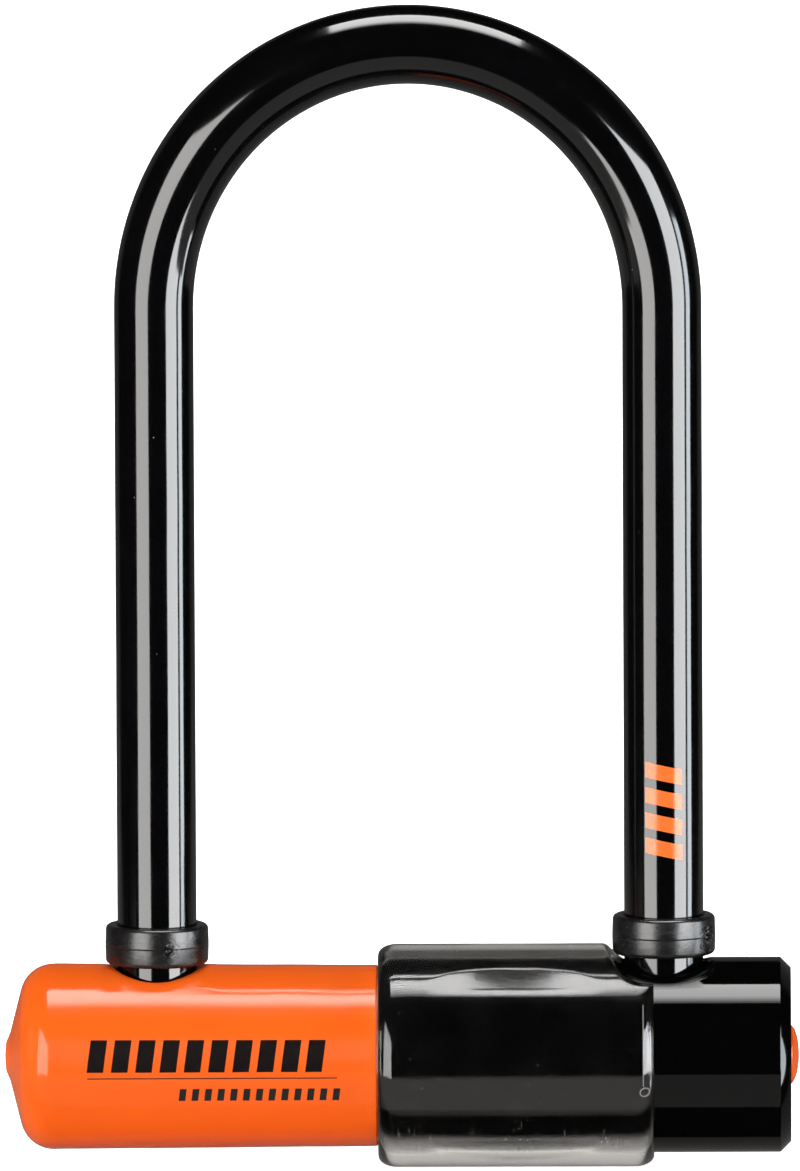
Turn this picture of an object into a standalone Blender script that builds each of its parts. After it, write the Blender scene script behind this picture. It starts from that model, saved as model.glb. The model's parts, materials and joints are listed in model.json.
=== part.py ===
"""Bicycle U lock: a coated shackle, a round crossbar, a disc cylinder and two deadbolts.

Metres.  +Z runs up the shackle, +X along the crossbar towards the lock end, and -Y is the front.
The origin is the bottom centre of the whole lock's box.  The lock is modelled unlocked, with the
shackle seated and both deadbolts drawn back.
"""
import math

import bmesh
import bpy
from mathutils import Matrix, Vector

MM = 0.001

# Crossbar: turned layers on one axis along X.  Lengths run from the middle of the lock.
AXIS_Z = 18.3 * MM
TUBE_R = 14.0 * MM
TUBE_BORE_R = 11.0 * MM
TUBE_LEFT = -58.6 * MM
TUBE_RIGHT = 59.8 * MM
LOCK_LEFT = -65.05 * MM
LOCK_RIGHT = 65.05 * MM
SLEEVE_BORE_R = 14.3 * MM
ORANGE_R_LEFT = 15.25 * MM
ORANGE_R_RIGHT = 14.9 * MM
ORANGE_RIGHT = -4.0 * MM
ARMOUR_R = 16.0 * MM
ARMOUR_LEFT = -3.3 * MM
ARMOUR_RIGHT = 64.4 * MM
ARMOUR_CHAMFER = 1.75 * MM
ARMOUR_END_WALL = 2.5 * MM
BUTTON_R = 4.9 * MM
BUMPER_R = AXIS_Z
BUMPER_BORE_R = 16.3 * MM
BUMPER_LEFT = -3.9 * MM
BUMPER_RIGHT = 41.3 * MM
PLUG_R = 10.7 * MM
PLUG_DEPTH = 5.5 * MM
GAP = 0.3 * MM

# Shackle: a steel rod in a vinyl skin.  Heights run from the crossbar's axis.
LEFT_LEG_X = -40.05 * MM
RIGHT_LEG_X = 42.95 * MM
ROD_R = 5.5 * MM
COAT_R = 6.5 * MM
COAT_WALL = 0.7 * MM
ARCH_BASE = 123.5 * MM
ARCH_RISE = 43.1 * MM
FOOT_END = -8.8 * MM
COAT_END = 8.0 * MM
NOTCH_DEPTH = 3.5 * MM
NOTCH_HALF = 5.0 * MM
COLLAR_R = 8.5 * MM
COLLAR_BORE_R = 6.8 * MM
COLLAR_HEIGHT = 6.45 * MM
LEFT_COLLAR_BASE = 15.45 * MM
RIGHT_COLLAR_BASE = 16.85 * MM
TUBE_LEG_HOLE_R = 6.9 * MM
ORANGE_LEG_HOLE_R = 7.2 * MM
ARMOUR_LEG_HOLE_R = 8.0 * MM

# Lock cylinder: its axis runs along Y through the crossbar's axis, keyway at the back.
CORE_X = 18.5 * MM
HOUSING_R = 8.0 * MM
HOUSING_BORE_R = 6.3 * MM
HOUSING_INNER = 0.5 * MM
HOUSING_OUTER = 13.7 * MM
HOUSING_LIP = 1.2 * MM
HOUSING_LIP_R = 4.8 * MM
BARREL_R = 6.0 * MM
BARREL_BORE_R = 4.9 * MM
BARREL_INNER = 0.8 * MM
BARREL_FLOOR = 1.2 * MM
DISC_R = 4.6 * MM
DISC_THICK = 1.0 * MM
DISC_PITCH = 1.3 * MM
DISC_CODES = (0, 36, 18, 72, 54, 18, 90)
FRONT_DISC_R = 4.5 * MM
FRONT_DISC_THICK = 1.9 * MM
KEYWAY = (2.4 * MM, 6.4 * MM)
SIDEBAR_R = 0.8 * MM
SIDEBAR_ORBIT = 5.0 * MM
TAIL_SIDE = 3.0 * MM
TAIL_END_R = 1.0 * MM
CAM_R = 6.0 * MM
CAM_INNER = -1.3 * MM
CAM_THICK = 1.2 * MM
CLIP_R = 2.8 * MM
DRIVE_ORBIT = 4.0 * MM
DRIVE_PIN_R = 1.1 * MM
CORE_TURN = math.radians(90.0)
HOUSING_PIN_R = 1.0 * MM
HOUSING_PIN_AT = (CORE_X + HOUSING_R - 0.6 * MM, 7.0 * MM, AXIS_Z)

# Deadbolts: forks in one layer in front of the cam, above and below its axis.
BOLT_FRONT = -5.6 * MM
BOLT_BACK = -2.4 * MM
BOLT_THROW = 2.0 * DRIVE_ORBIT * math.sin(CORE_TURN / 2.0)
FORK_INNER = 1.3 * MM
FORK_OUTER = 7.4 * MM
FORK_SLOT_HALF = DRIVE_PIN_R + 0.35 * MM
FORK_TINE = 1.6 * MM
BAR_HALF = 3.6 * MM
HEAD_R = 4.5 * MM
GUIDE_R = 10.7 * MM
GUIDE_PIN_R = 0.9 * MM
LEFT_OUTER_GUIDE = (-29.0 * MM, -24.0 * MM)
LEFT_INNER_GUIDE = (-4.0 * MM, 0.0 * MM)
RIGHT_GUIDE = (30.5 * MM, 34.5 * MM)

# Dust cover: a curved plate that slides round in a pocket of the clear bumper.
COVER_R = (16.35 * MM, 17.35 * MM)
COVER_HALF_LENGTH = 8.5 * MM
COVER_HALF_ANGLE = math.radians(22.0)
COVER_TRAVEL = math.radians(42.0)
WINDOW_R = 5.5 * MM

FINE = 56
MEDIUM = 32
SMALL = 20

# Local Z is turned onto the named world axis; the other two follow in cyclic order.
TURN_ONTO = {
    "X": Matrix(((0, 0, 1), (1, 0, 0), (0, 1, 0))).to_4x4(),
    "Y": Matrix(((0, 1, 0), (0, 0, 1), (1, 0, 0))).to_4x4(),
    "Z": Matrix.Identity(4),
}

FINISHES = {
    "black_vinyl": ((0.010, 0.010, 0.012), 0.12, 0.0),
    "black_rubber": ((0.020, 0.020, 0.022), 0.55, 0.0),
    "orange_vinyl": ((0.870, 0.160, 0.020), 0.20, 0.0),
    "black_armour": ((0.008, 0.008, 0.009), 0.10, 0.0),
    "clear_vinyl": ((0.450, 0.450, 0.460), 0.15, 0.0),
    "hardened_steel": ((0.420, 0.420, 0.430), 0.35, 1.0),
    "brass": ((0.700, 0.520, 0.220), 0.30, 1.0),
    "bright_steel": ((0.620, 0.620, 0.640), 0.25, 1.0),
    "black_plastic": ((0.030, 0.030, 0.032), 0.40, 0.0),
}


def clear_scene():
    for obj in list(bpy.data.objects):
        bpy.data.objects.remove(obj, do_unlink=True)


def make_collection(name):
    group = bpy.data.collections.new(name)
    bpy.context.scene.collection.children.link(group)
    return group


def make_material(name):
    color, roughness, metallic = FINISHES[name]
    mat = bpy.data.materials.new(name)
    mat.use_nodes = True
    shader = mat.node_tree.nodes["Principled BSDF"]
    shader.inputs["Base Color"].default_value = (*color, 1.0)
    shader.inputs["Roughness"].default_value = roughness
    shader.inputs["Metallic"].default_value = metallic
    return mat


clear_scene()
PARTS = make_collection("u_lock")
CUTTERS = make_collection("u_lock_cutters")
MATERIALS = {name: make_material(name) for name in FINISHES}


def place(obj, finish=None, axis="Z", at=(0.0, 0.0, 0.0)):
    """Link an object as a part with a finish, or as a hidden cutter when it has none."""
    obj.matrix_world = Matrix.Translation(Vector(at)) @ TURN_ONTO[axis]
    if finish:
        PARTS.objects.link(obj)
        obj.data.materials.append(MATERIALS[finish])
        return obj
    CUTTERS.objects.link(obj)
    obj.hide_render = True
    obj.display_type = 'WIRE'
    return obj


def arc(centre, radii, start, end, count):
    """Points on an ellipse's arc, with angles in degrees from +X."""
    points = []
    for i in range(count + 1):
        angle = math.radians(start + (end - start) * i / count)
        points.append((centre[0] + radii[0] * math.cos(angle),
                       centre[1] + radii[1] * math.sin(angle)))
    return points


def turned(name, profile, finish=None, ring=False, axis="Z", at=(0.0, 0.0, 0.0), steps=MEDIUM):
    """Turn (radius, height) points, which run down the outer side, about the local Z axis."""
    verts = [(radius, 0.0, height) for radius, height in profile]
    edges = [(i, i + 1) for i in range(len(verts) - 1)]
    if ring:
        edges.append((len(verts) - 1, 0))
    mesh = bpy.data.meshes.new(name)
    mesh.from_pydata(verts, edges, [])
    obj = bpy.data.objects.new(name, mesh)
    screw = obj.modifiers.new("Turn", 'SCREW')
    screw.axis = 'Z'
    screw.angle = 2.0 * math.pi
    screw.steps = steps
    screw.render_steps = steps
    screw.use_merge_vertices = True
    screw.merge_threshold = 0.000001
    return place(obj, finish, axis, at)


def rod(name, radius, low, high, finish=None, axis="Z", at=(0.0, 0.0, 0.0), steps=SMALL):
    """A solid round bar from low to high along the axis."""
    profile = [(0.0, high), (radius, high), (radius, low), (0.0, low)]
    return turned(name, profile, finish, False, axis, at, steps)


def pipe(name, outer, inner, low, high, finish=None, axis="Z", at=(0.0, 0.0, 0.0), steps=MEDIUM):
    """A plain ring with square ends."""
    profile = [(inner, high), (outer, high), (outer, low), (inner, low)]
    return turned(name, profile, finish, True, axis, at, steps)


def block(name, low, high, finish=None, at=(0.0, 0.0, 0.0), turn=0.0):
    """A box between two corners, turned about Y by an angle at its own origin."""
    mesh = bpy.data.meshes.new(name)
    form = bmesh.new()
    bmesh.ops.create_cube(form, size=1.0)
    size = [b - a for a, b in zip(low, high)]
    middle = [(a + b) / 2.0 for a, b in zip(low, high)]
    bmesh.ops.scale(form, vec=size, verts=form.verts)
    bmesh.ops.translate(form, vec=middle, verts=form.verts)
    bmesh.ops.rotate(form, cent=(0, 0, 0), matrix=Matrix.Rotation(turn, 3, 'Y'), verts=form.verts)
    form.to_mesh(mesh)
    form.free()
    return place(bpy.data.objects.new(name, mesh), finish, "Z", at)


def curve_to_mesh(obj):
    """The mesh that a curve object makes, with its caps welded on."""
    group = bpy.context.scene.collection
    group.objects.link(obj)
    bpy.context.view_layer.update()
    evaluated = obj.evaluated_get(bpy.context.evaluated_depsgraph_get())
    mesh = bpy.data.meshes.new_from_object(evaluated)
    form = bmesh.new()
    form.from_mesh(mesh)
    bmesh.ops.remove_doubles(form, verts=form.verts, dist=0.000001)
    form.to_mesh(mesh)
    form.free()
    curve = obj.data
    bpy.data.objects.remove(obj)
    bpy.data.curves.remove(curve)
    return mesh


def plate(name, outline, low, high, finish=None, axis="Z", at=(0.0, 0.0, 0.0)):
    """A flat outline, extruded from low to high along the axis."""
    curve = bpy.data.curves.new(name, 'CURVE')
    curve.dimensions = '2D'
    curve.fill_mode = 'BOTH'
    curve.extrude = (high - low) / 2.0
    spline = curve.splines.new('POLY')
    spline.points.add(len(outline) - 1)
    for point, (x, y) in zip(spline.points, outline):
        point.co = (x, y, 0.0, 1.0)
    spline.use_cyclic_u = True
    mesh = curve_to_mesh(bpy.data.objects.new(name, curve))
    mesh.transform(Matrix.Translation((0.0, 0.0, (low + high) / 2.0)))
    mesh.name = name
    return place(bpy.data.objects.new(name, mesh), finish, axis, at)


def sector(name, radii, angles, low, high, finish=None):
    """A curved plate round the crossbar's axis; angles in radians from the back towards the top."""
    degrees = [math.degrees(angle) for angle in angles]
    inner, outer = radii
    count = 14
    outline = arc((0.0, 0.0), (outer, outer), degrees[0], degrees[1], count)
    outline += arc((0.0, 0.0), (inner, inner), degrees[1], degrees[0], count)
    return plate(name, outline, low, high, finish, "X", (0.0, 0.0, AXIS_Z))


def combine(obj, other, operation):
    """Apply another solid to this one with the exact Boolean."""
    step = obj.modifiers.new(other.name, 'BOOLEAN')
    step.operation = operation
    step.object = other
    step.solver = 'EXACT'


def cut(obj, *cutters):
    for cutter in cutters:
        combine(obj, cutter, 'DIFFERENCE')


def fuse(obj, *others):
    for other in others:
        combine(obj, other, 'UNION')


def pivot(name, at):
    """An empty on a joint's axis."""
    empty = bpy.data.objects.new(name, None)
    empty.empty_display_size = 0.01
    empty.location = at
    PARTS.objects.link(empty)
    return empty


def carry(empty, *objects):
    """Parent objects to a pivot and keep them where they are."""
    for obj in objects:
        obj.parent = empty
        obj.location = obj.location - empty.location


# ---------------------------------------------------------------- shackle

def shackle_path(foot_height):
    """Centre line from the left foot, over the arch, to the right foot."""
    half = (RIGHT_LEG_X - LEFT_LEG_X) / 2.0
    middle = (RIGHT_LEG_X + LEFT_LEG_X) / 2.0
    points = [(LEFT_LEG_X, 0.0, AXIS_Z + foot_height)]
    arch = arc((middle, AXIS_Z + ARCH_BASE), (half, ARCH_RISE), 180.0, 0.0, 26)
    points += [(x, 0.0, z) for x, z in arch]
    points.append((RIGHT_LEG_X, 0.0, AXIS_Z + foot_height))
    return points


def swept_mesh(name, radius, foot_height, capped):
    """Mesh of a round tube along the shackle's centre line."""
    path = shackle_path(foot_height)
    curve = bpy.data.curves.new(name, 'CURVE')
    curve.dimensions = '3D'
    curve.bevel_depth = radius
    curve.bevel_resolution = 6
    curve.use_fill_caps = capped
    spline = curve.splines.new('POLY')
    spline.points.add(len(path) - 1)
    for point, co in zip(spline.points, path):
        point.co = (*co, 1.0)
    mesh = curve_to_mesh(bpy.data.objects.new(name, curve))
    mesh.name = name
    return mesh


def make_shackle_core():
    """The steel rod, with a notch for a deadbolt on the inner side of each foot."""
    obj = bpy.data.objects.new("shackle_core", swept_mesh("shackle_core", ROD_R, FOOT_END, True))
    place(obj, "hardened_steel")
    reach = ROD_R - NOTCH_DEPTH
    for side, x, inward in (("left", LEFT_LEG_X, 1.0), ("right", RIGHT_LEG_X, -1.0)):
        ends = sorted((inward * reach, inward * 2.0 * ROD_R))
        low = (ends[0], -2.0 * ROD_R, -NOTCH_HALF)
        high = (ends[1], 2.0 * ROD_R, NOTCH_HALF)
        cut(obj, block(side + "_foot_notch", low, high, at=(x, 0.0, AXIS_Z)))
    return obj


def make_shackle_coating():
    """The vinyl skin, open at both feet."""
    mesh = swept_mesh("shackle_coating", COAT_R, COAT_END, False)
    obj = bpy.data.objects.new("shackle_coating", mesh)
    place(obj, "black_vinyl")
    shell = obj.modifiers.new("Wall", 'SOLIDIFY')
    shell.thickness = COAT_WALL
    shell.offset = -1.0
    shell.use_even_offset = True
    return obj


def make_collar(name, x, base):
    """A rubber ring with rounded shoulders at a foot of the shackle."""
    top = base + COLLAR_HEIGHT
    round_r = 1.1 * MM
    shoulder = (COLLAR_R - round_r, round_r)
    profile = [(COLLAR_BORE_R, top)]
    profile += arc((shoulder[0], top - round_r), (round_r, round_r), 90.0, 0.0, 4)
    profile += arc((shoulder[0], base + round_r), (round_r, round_r), 0.0, -90.0, 4)
    profile.append((COLLAR_BORE_R, base))
    return turned(name, profile, "black_rubber", True, "Z", (x, 0.0, AXIS_Z))


# ---------------------------------------------------------------- crossbar shells

def leg_hole(name, x, radius):
    """Cutter for a hole in the crossbar's top side."""
    return rod(name, radius, 0.0, 2.0 * ARMOUR_R, at=(x, 0.0, AXIS_Z), steps=MEDIUM)


def back_hole(name, radius):
    """Cutter for a hole in the crossbar's back, on the lock cylinder's axis."""
    return rod(name, radius, 0.0, 2.0 * ARMOUR_R, axis="Y", at=(CORE_X, 0.0, AXIS_Z), steps=MEDIUM)


def guide_middle(guide):
    return (guide[0] + guide[1]) / 2.0


def make_crossbar_tube():
    """The hardened tube that carries the legs, the lock cylinder and the deadbolts."""
    tube = pipe("crossbar_tube", TUBE_R, TUBE_BORE_R, TUBE_LEFT, TUBE_RIGHT, "hardened_steel",
                "X", (0.0, 0.0, AXIS_Z), FINE)
    cut(tube, leg_hole("left_tube_hole", LEFT_LEG_X, TUBE_LEG_HOLE_R))
    cut(tube, leg_hole("right_tube_hole", RIGHT_LEG_X, TUBE_LEG_HOLE_R))
    cut(tube, back_hole("tube_back_hole", HOUSING_R + GAP))
    cut(tube, rod("housing_pin_hole", HOUSING_PIN_R + GAP, 0.0, TUBE_R, at=HOUSING_PIN_AT))
    for name, guide in (("left_outer", LEFT_OUTER_GUIDE), ("left_inner", LEFT_INNER_GUIDE),
                        ("right", RIGHT_GUIDE)):
        cut(tube, rod(name + "_guide_pin_hole", GUIDE_PIN_R + GAP, -2.0 * TUBE_R, 0.0,
                      at=(guide_middle(guide), 0.0, AXIS_Z)))
    return tube


def make_orange_sleeve():
    """The vinyl sleeve, with a slightly conical end and a low nub at its centre."""
    nub_r = 4.2 * MM
    nub_height = 1.15 * MM
    cone_r = 12.6 * MM
    cone_x = LOCK_LEFT + 3.45 * MM
    corner = (6.0 * MM, ORANGE_R_LEFT - cone_r)
    profile = [(ORANGE_R_RIGHT, ORANGE_RIGHT)]
    profile += [(r, x) for x, r in arc((cone_x + corner[0], cone_r), corner, 90.0, 180.0, 6)]
    profile += [(r, x) for x, r in arc((LOCK_LEFT + nub_height, 0.0), (nub_height, nub_r),
                                       90.0, 180.0, 4)]
    inner_x = TUBE_LEFT - 0.4 * MM
    profile += [(0.0, inner_x), (SLEEVE_BORE_R, inner_x), (SLEEVE_BORE_R, ORANGE_RIGHT)]
    sleeve = turned("orange_sleeve", profile, "orange_vinyl", True, "X", (0.0, 0.0, AXIS_Z), FINE)
    cut(sleeve, leg_hole("orange_leg_hole", LEFT_LEG_X, ORANGE_LEG_HOLE_R))
    return sleeve


def make_armour_sleeve():
    """The black outer sleeve, with a chamfered end wall that holds the button."""
    inner_x = ARMOUR_RIGHT - ARMOUR_END_WALL
    lead = 0.4 * MM
    profile = [
        (BUTTON_R + GAP, ARMOUR_RIGHT),
        (ARMOUR_R - ARMOUR_CHAMFER, ARMOUR_RIGHT),
        (ARMOUR_R, ARMOUR_RIGHT - ARMOUR_CHAMFER),
        (ARMOUR_R, ARMOUR_LEFT + lead),
        (ARMOUR_R - lead, ARMOUR_LEFT),
        (SLEEVE_BORE_R, ARMOUR_LEFT),
        (SLEEVE_BORE_R, inner_x),
        (BUTTON_R + GAP, inner_x),
    ]
    sleeve = turned("armour_sleeve", profile, "black_armour", True, "X", (0.0, 0.0, AXIS_Z), FINE)
    cut(sleeve, leg_hole("armour_leg_hole", RIGHT_LEG_X, ARMOUR_LEG_HOLE_R))
    cut(sleeve, back_hole("armour_back_hole", HOUSING_R + 0.4 * MM))
    return sleeve


def make_end_button():
    """The orange button: a flange behind the end wall, and a dome that stands out of it."""
    flange_r = 8.0 * MM
    flange = (TUBE_RIGHT + GAP, ARMOUR_RIGHT - ARMOUR_END_WALL - GAP)
    dome_x = ARMOUR_RIGHT - 0.25 * MM
    dome = (LOCK_RIGHT - dome_x, BUTTON_R)
    profile = [(r, x) for x, r in arc((dome_x, 0.0), dome, 0.0, 90.0, 5)]
    profile += [(BUTTON_R, flange[1]), (flange_r, flange[1]), (flange_r, flange[0]), (0.0, flange[0])]
    return turned("end_button", profile, "orange_vinyl", False, "X", (0.0, 0.0, AXIS_Z))


def make_clear_bumper():
    """The thick clear sleeve, cut away at its top right corner to clear the collar."""
    corner = (2.7 * MM, 1.6 * MM)
    base_r = BUMPER_R - corner[1]
    profile = [(r, x) for x, r in arc((BUMPER_RIGHT - corner[0], base_r), corner, 0.0, 90.0, 5)]
    profile += [(r, x) for x, r in arc((BUMPER_LEFT + corner[0], base_r), corner, 90.0, 180.0, 5)]
    profile += [(BUMPER_BORE_R, BUMPER_LEFT), (BUMPER_BORE_R, BUMPER_RIGHT)]
    bumper = turned("clear_bumper", profile, "clear_vinyl", True, "X", (0.0, 0.0, AXIS_Z), FINE)
    sweep_r = 7.3 * MM
    sweep_x = BUMPER_RIGHT - 0.8 * MM
    sweep_z = AXIS_Z + 20.4 * MM
    deep = 2.0 * BUMPER_R
    cut(bumper, rod("bumper_sweep", sweep_r, -deep, deep, axis="Y", at=(sweep_x, 0.0, sweep_z),
                    steps=MEDIUM))
    cut(bumper, block("bumper_corner", (0.0, -deep, -sweep_r), (deep, deep, deep),
                      at=(sweep_x, 0.0, sweep_z)))
    cut(bumper, back_hole("bumper_window", WINDOW_R))
    spare = math.radians(2.0)
    angles = (-COVER_HALF_ANGLE - COVER_TRAVEL - spare, COVER_HALF_ANGLE + spare)
    half = COVER_HALF_LENGTH + GAP
    cut(bumper, sector("cover_pocket", (COVER_R[0] - 0.8 * MM, COVER_R[1] + GAP), angles,
                       CORE_X - half, CORE_X + half))
    return bumper


def make_dust_cover():
    """The curved plate over the keyway, with a shallow finger dimple."""
    cover = sector("dust_cover", COVER_R, (-COVER_HALF_ANGLE, COVER_HALF_ANGLE),
                   CORE_X - COVER_HALF_LENGTH, CORE_X + COVER_HALF_LENGTH, "black_plastic")
    dimple_depth = 0.5 * MM
    cut(cover, rod("cover_dimple", 2.2 * MM, COVER_R[1] - dimple_depth, 2.0 * COVER_R[1],
                   axis="Y", at=(CORE_X, 0.0, AXIS_Z)))
    return cover


def make_end_plugs():
    """Steel plugs pressed into both ends of the tube."""
    spots = (("left_end_plug", TUBE_LEFT + GAP), ("right_end_plug", TUBE_RIGHT - GAP - PLUG_DEPTH))
    for name, low in spots:
        rod(name, PLUG_R, low, low + PLUG_DEPTH, "hardened_steel", "X", (0.0, 0.0, AXIS_Z), MEDIUM)


# ---------------------------------------------------------------- lock cylinder

def on_core(height=0.0):
    """A point on the lock cylinder's axis."""
    return (CORE_X, height, AXIS_Z)


def disc_start(index):
    return BARREL_INNER + BARREL_FLOOR + GAP + index * DISC_PITCH


BARREL_OUTER = HOUSING_OUTER - HOUSING_LIP - GAP


def make_cylinder_housing():
    """The fixed brass shell, with a groove that the sidebar locks into."""
    lip_x = HOUSING_OUTER - HOUSING_LIP
    profile = [
        (HOUSING_LIP_R, HOUSING_OUTER),
        (HOUSING_R, HOUSING_OUTER),
        (HOUSING_R, HOUSING_INNER),
        (HOUSING_BORE_R, HOUSING_INNER),
        (HOUSING_BORE_R, lip_x),
        (HOUSING_LIP_R, lip_x),
    ]
    housing = turned("cylinder_housing", profile, "brass", True, "Y", on_core())
    half = SIDEBAR_R + GAP
    low = (-half, disc_start(0), 0.0)
    high = (half, BARREL_OUTER - GAP, HOUSING_BORE_R + 0.9 * MM)
    cut(housing, block("housing_groove", low, high, at=on_core()))
    cut(housing, rod("housing_pin_groove", HOUSING_PIN_R + GAP, -HOUSING_R, HOUSING_R,
                     at=HOUSING_PIN_AT))
    return housing


def make_housing_pin():
    """The cross pin that keeps the housing in the tube."""
    return rod("housing_pin", HOUSING_PIN_R, -6.0 * MM, 11.2 * MM, "bright_steel",
               at=HOUSING_PIN_AT)


def make_lock_core():
    """The turning barrel: a cup for the discs, a sidebar slot and a square tail."""
    floor_x = BARREL_INNER + BARREL_FLOOR
    profile = [
        (BARREL_BORE_R, BARREL_OUTER),
        (BARREL_R, BARREL_OUTER),
        (BARREL_R, BARREL_INNER),
        (0.0, BARREL_INNER),
        (0.0, floor_x),
        (BARREL_BORE_R, floor_x),
    ]
    core = turned("lock_core", profile, "brass", True, "Y", on_core())
    half = TAIL_SIDE / 2.0
    overlap = 0.2 * MM
    square = block("core_tail", (-half, CAM_INNER - 0.1 * MM, -half),
                   (half, BARREL_INNER + overlap, half), at=on_core())
    tip = rod("core_tail_end", TAIL_END_R, CAM_INNER - 0.8 * MM, BARREL_INNER, axis="Y", at=on_core())
    fuse(core, square, tip)
    slot = SIDEBAR_R + 0.4 * MM
    low = (-2.0 * BARREL_R, disc_start(0), -slot)
    high = (-BARREL_BORE_R + 1.0 * MM, BARREL_OUTER - GAP, slot)
    cut(core, block("sidebar_slot", low, high, at=on_core()))
    return core


def keyway(name, turn):
    """Cutter for the key's slot, turned about the cylinder's axis."""
    half = (KEYWAY[0] / 2.0, KEYWAY[1] / 2.0)
    low = (-half[0], -HOUSING_OUTER, -half[1])
    high = (half[0], 2.0 * HOUSING_OUTER, half[1])
    return block(name, low, high, at=on_core(), turn=turn)


def make_code_discs():
    """The code discs: gates lined up at the sidebar, key slots each at their own cut's angle."""
    gate = (SIDEBAR_R + 0.4 * MM, SIDEBAR_ORBIT - SIDEBAR_R - GAP)
    low = (-2.0 * DISC_R, -HOUSING_OUTER, -gate[0])
    high = (-gate[1], 2.0 * HOUSING_OUTER, gate[0])
    gate_cutter = block("disc_gate", low, high, at=on_core())
    discs = []
    for index, code in enumerate(DISC_CODES):
        name = "code_disc_%d" % (index + 1)
        start = disc_start(index)
        disc = rod(name, DISC_R, start, start + DISC_THICK, "bright_steel", "Y", on_core(), MEDIUM)
        cut(disc, gate_cutter)
        cut(disc, keyway(name + "_keyway", math.radians(code)))
        discs.append(disc)
    return discs


def make_front_disc():
    """The hardened disc behind the keyway's mouth."""
    start = disc_start(len(DISC_CODES))
    disc = rod("front_disc", FRONT_DISC_R, start, start + FRONT_DISC_THICK, "bright_steel", "Y",
               on_core(), MEDIUM)
    cut(disc, keyway("front_disc_keyway", 0.0))
    return disc


def make_sidebar():
    """The locking bar that lies in the discs' gates."""
    start = disc_start(0) + GAP
    end = disc_start(len(DISC_CODES)) - GAP
    at = (CORE_X - SIDEBAR_ORBIT, 0.0, AXIS_Z)
    return rod("sidebar", SIDEBAR_R, start, end, "bright_steel", "Y", at, 12)


def drive_pin_spots():
    """Centres of the two drive pins at rest: the right bolt's above the axis, the left's below."""
    reach = DRIVE_ORBIT * math.sin(CORE_TURN / 2.0)
    rise = DRIVE_ORBIT * math.cos(CORE_TURN / 2.0)
    return {"right": (CORE_X - reach, AXIS_Z + rise), "left": (CORE_X + reach, AXIS_Z - rise)}


def make_drive_cam():
    """The cam plate on the core's tail, bored for the two drive pins."""
    cam = rod("drive_cam", CAM_R, CAM_INNER, CAM_INNER + CAM_THICK, "hardened_steel", "Y",
              on_core(), MEDIUM)
    half = TAIL_SIDE / 2.0 + GAP
    cut(cam, block("cam_square", (-half, -CAM_R, -half), (half, CAM_R, half), at=on_core()))
    for side, (x, z) in drive_pin_spots().items():
        cut(cam, rod("cam_%s_pin_hole" % side, DRIVE_PIN_R + GAP, -CAM_R, CAM_R, axis="Y",
                     at=(x, 0.0, z)))
    return cam


def make_drive_pins():
    """The two pins that push the deadbolts' forks."""
    pins = []
    for side, (x, z) in drive_pin_spots().items():
        pins.append(rod(side + "_drive_pin", DRIVE_PIN_R, BOLT_FRONT, CAM_INNER + CAM_THICK,
                        "bright_steel", "Y", (x, 0.0, z)))
    return pins


def make_cam_clip():
    """The ring that keeps the cam on the tail."""
    low = CAM_INNER - 0.7 * MM
    return pipe("cam_clip", CLIP_R, TAIL_END_R + GAP, low, low + 0.4 * MM, "bright_steel", "Y",
                on_core(), SMALL)


# ---------------------------------------------------------------- deadbolts

def bolt_block(name, x_low, x_high, z_low, z_high, finish=None):
    """A box in the deadbolts' layer."""
    return block(name, (x_low, BOLT_FRONT, z_low), (x_high, BOLT_BACK, z_high), finish,
                 (0.0, 0.0, AXIS_Z))


def fork_slot(name, x, z_low, z_high):
    """Cutter for the slot that a drive pin runs in."""
    low = (x - FORK_SLOT_HALF, 2.0 * BOLT_FRONT, z_low)
    high = (x + FORK_SLOT_HALF, 0.0, z_high)
    return block(name, low, high, at=(0.0, 0.0, AXIS_Z))


def make_right_deadbolt():
    """Fork above the axis, a bar through the guide, and a round head on the axis."""
    pin_x = drive_pin_spots()["right"][0]
    end = RIGHT_LEG_X - ROD_R + NOTCH_DEPTH - GAP - BOLT_THROW
    fork_left = pin_x - FORK_SLOT_HALF - FORK_TINE
    bolt = bolt_block("right_deadbolt", fork_left, CORE_X + 5.5 * MM, FORK_INNER, FORK_OUTER,
                      "hardened_steel")
    neck = bolt_block("right_bolt_neck", CORE_X + 5.2 * MM, end - 1.0 * MM, FORK_INNER, BAR_HALF)
    bar = bolt_block("right_bolt_bar", CORE_X + 6.5 * MM, end - 1.5 * MM, -BAR_HALF, BAR_HALF)
    head = rod("right_bolt_head", HEAD_R, CORE_X + 8.9 * MM, end, axis="X", at=(0.0, 0.0, AXIS_Z))
    fuse(bolt, neck, bar, head)
    reach = DRIVE_ORBIT + FORK_SLOT_HALF
    cut(bolt, fork_slot("right_fork_slot", pin_x, 0.0, reach))
    return bolt


def make_left_deadbolt():
    """Fork below the axis, a long bar through both guides, and a round head on the axis."""
    pin_x = drive_pin_spots()["left"][0]
    end = LEFT_LEG_X + ROD_R - NOTCH_DEPTH + GAP + BOLT_THROW
    fork_right = pin_x + FORK_SLOT_HALF + FORK_TINE
    bolt = bolt_block("left_deadbolt", CORE_X - 8.5 * MM, fork_right, -FORK_OUTER, -FORK_INNER,
                      "hardened_steel")
    bar = bolt_block("left_bolt_bar", end + 1.5 * MM, CORE_X - 6.5 * MM, -BAR_HALF, BAR_HALF)
    head = rod("left_bolt_head", HEAD_R, end, end + 14.0 * MM, axis="X", at=(0.0, 0.0, AXIS_Z))
    fuse(bolt, bar, head)
    reach = DRIVE_ORBIT + FORK_SLOT_HALF
    cut(bolt, fork_slot("left_fork_slot", pin_x, -reach, 0.0))
    return bolt


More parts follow.
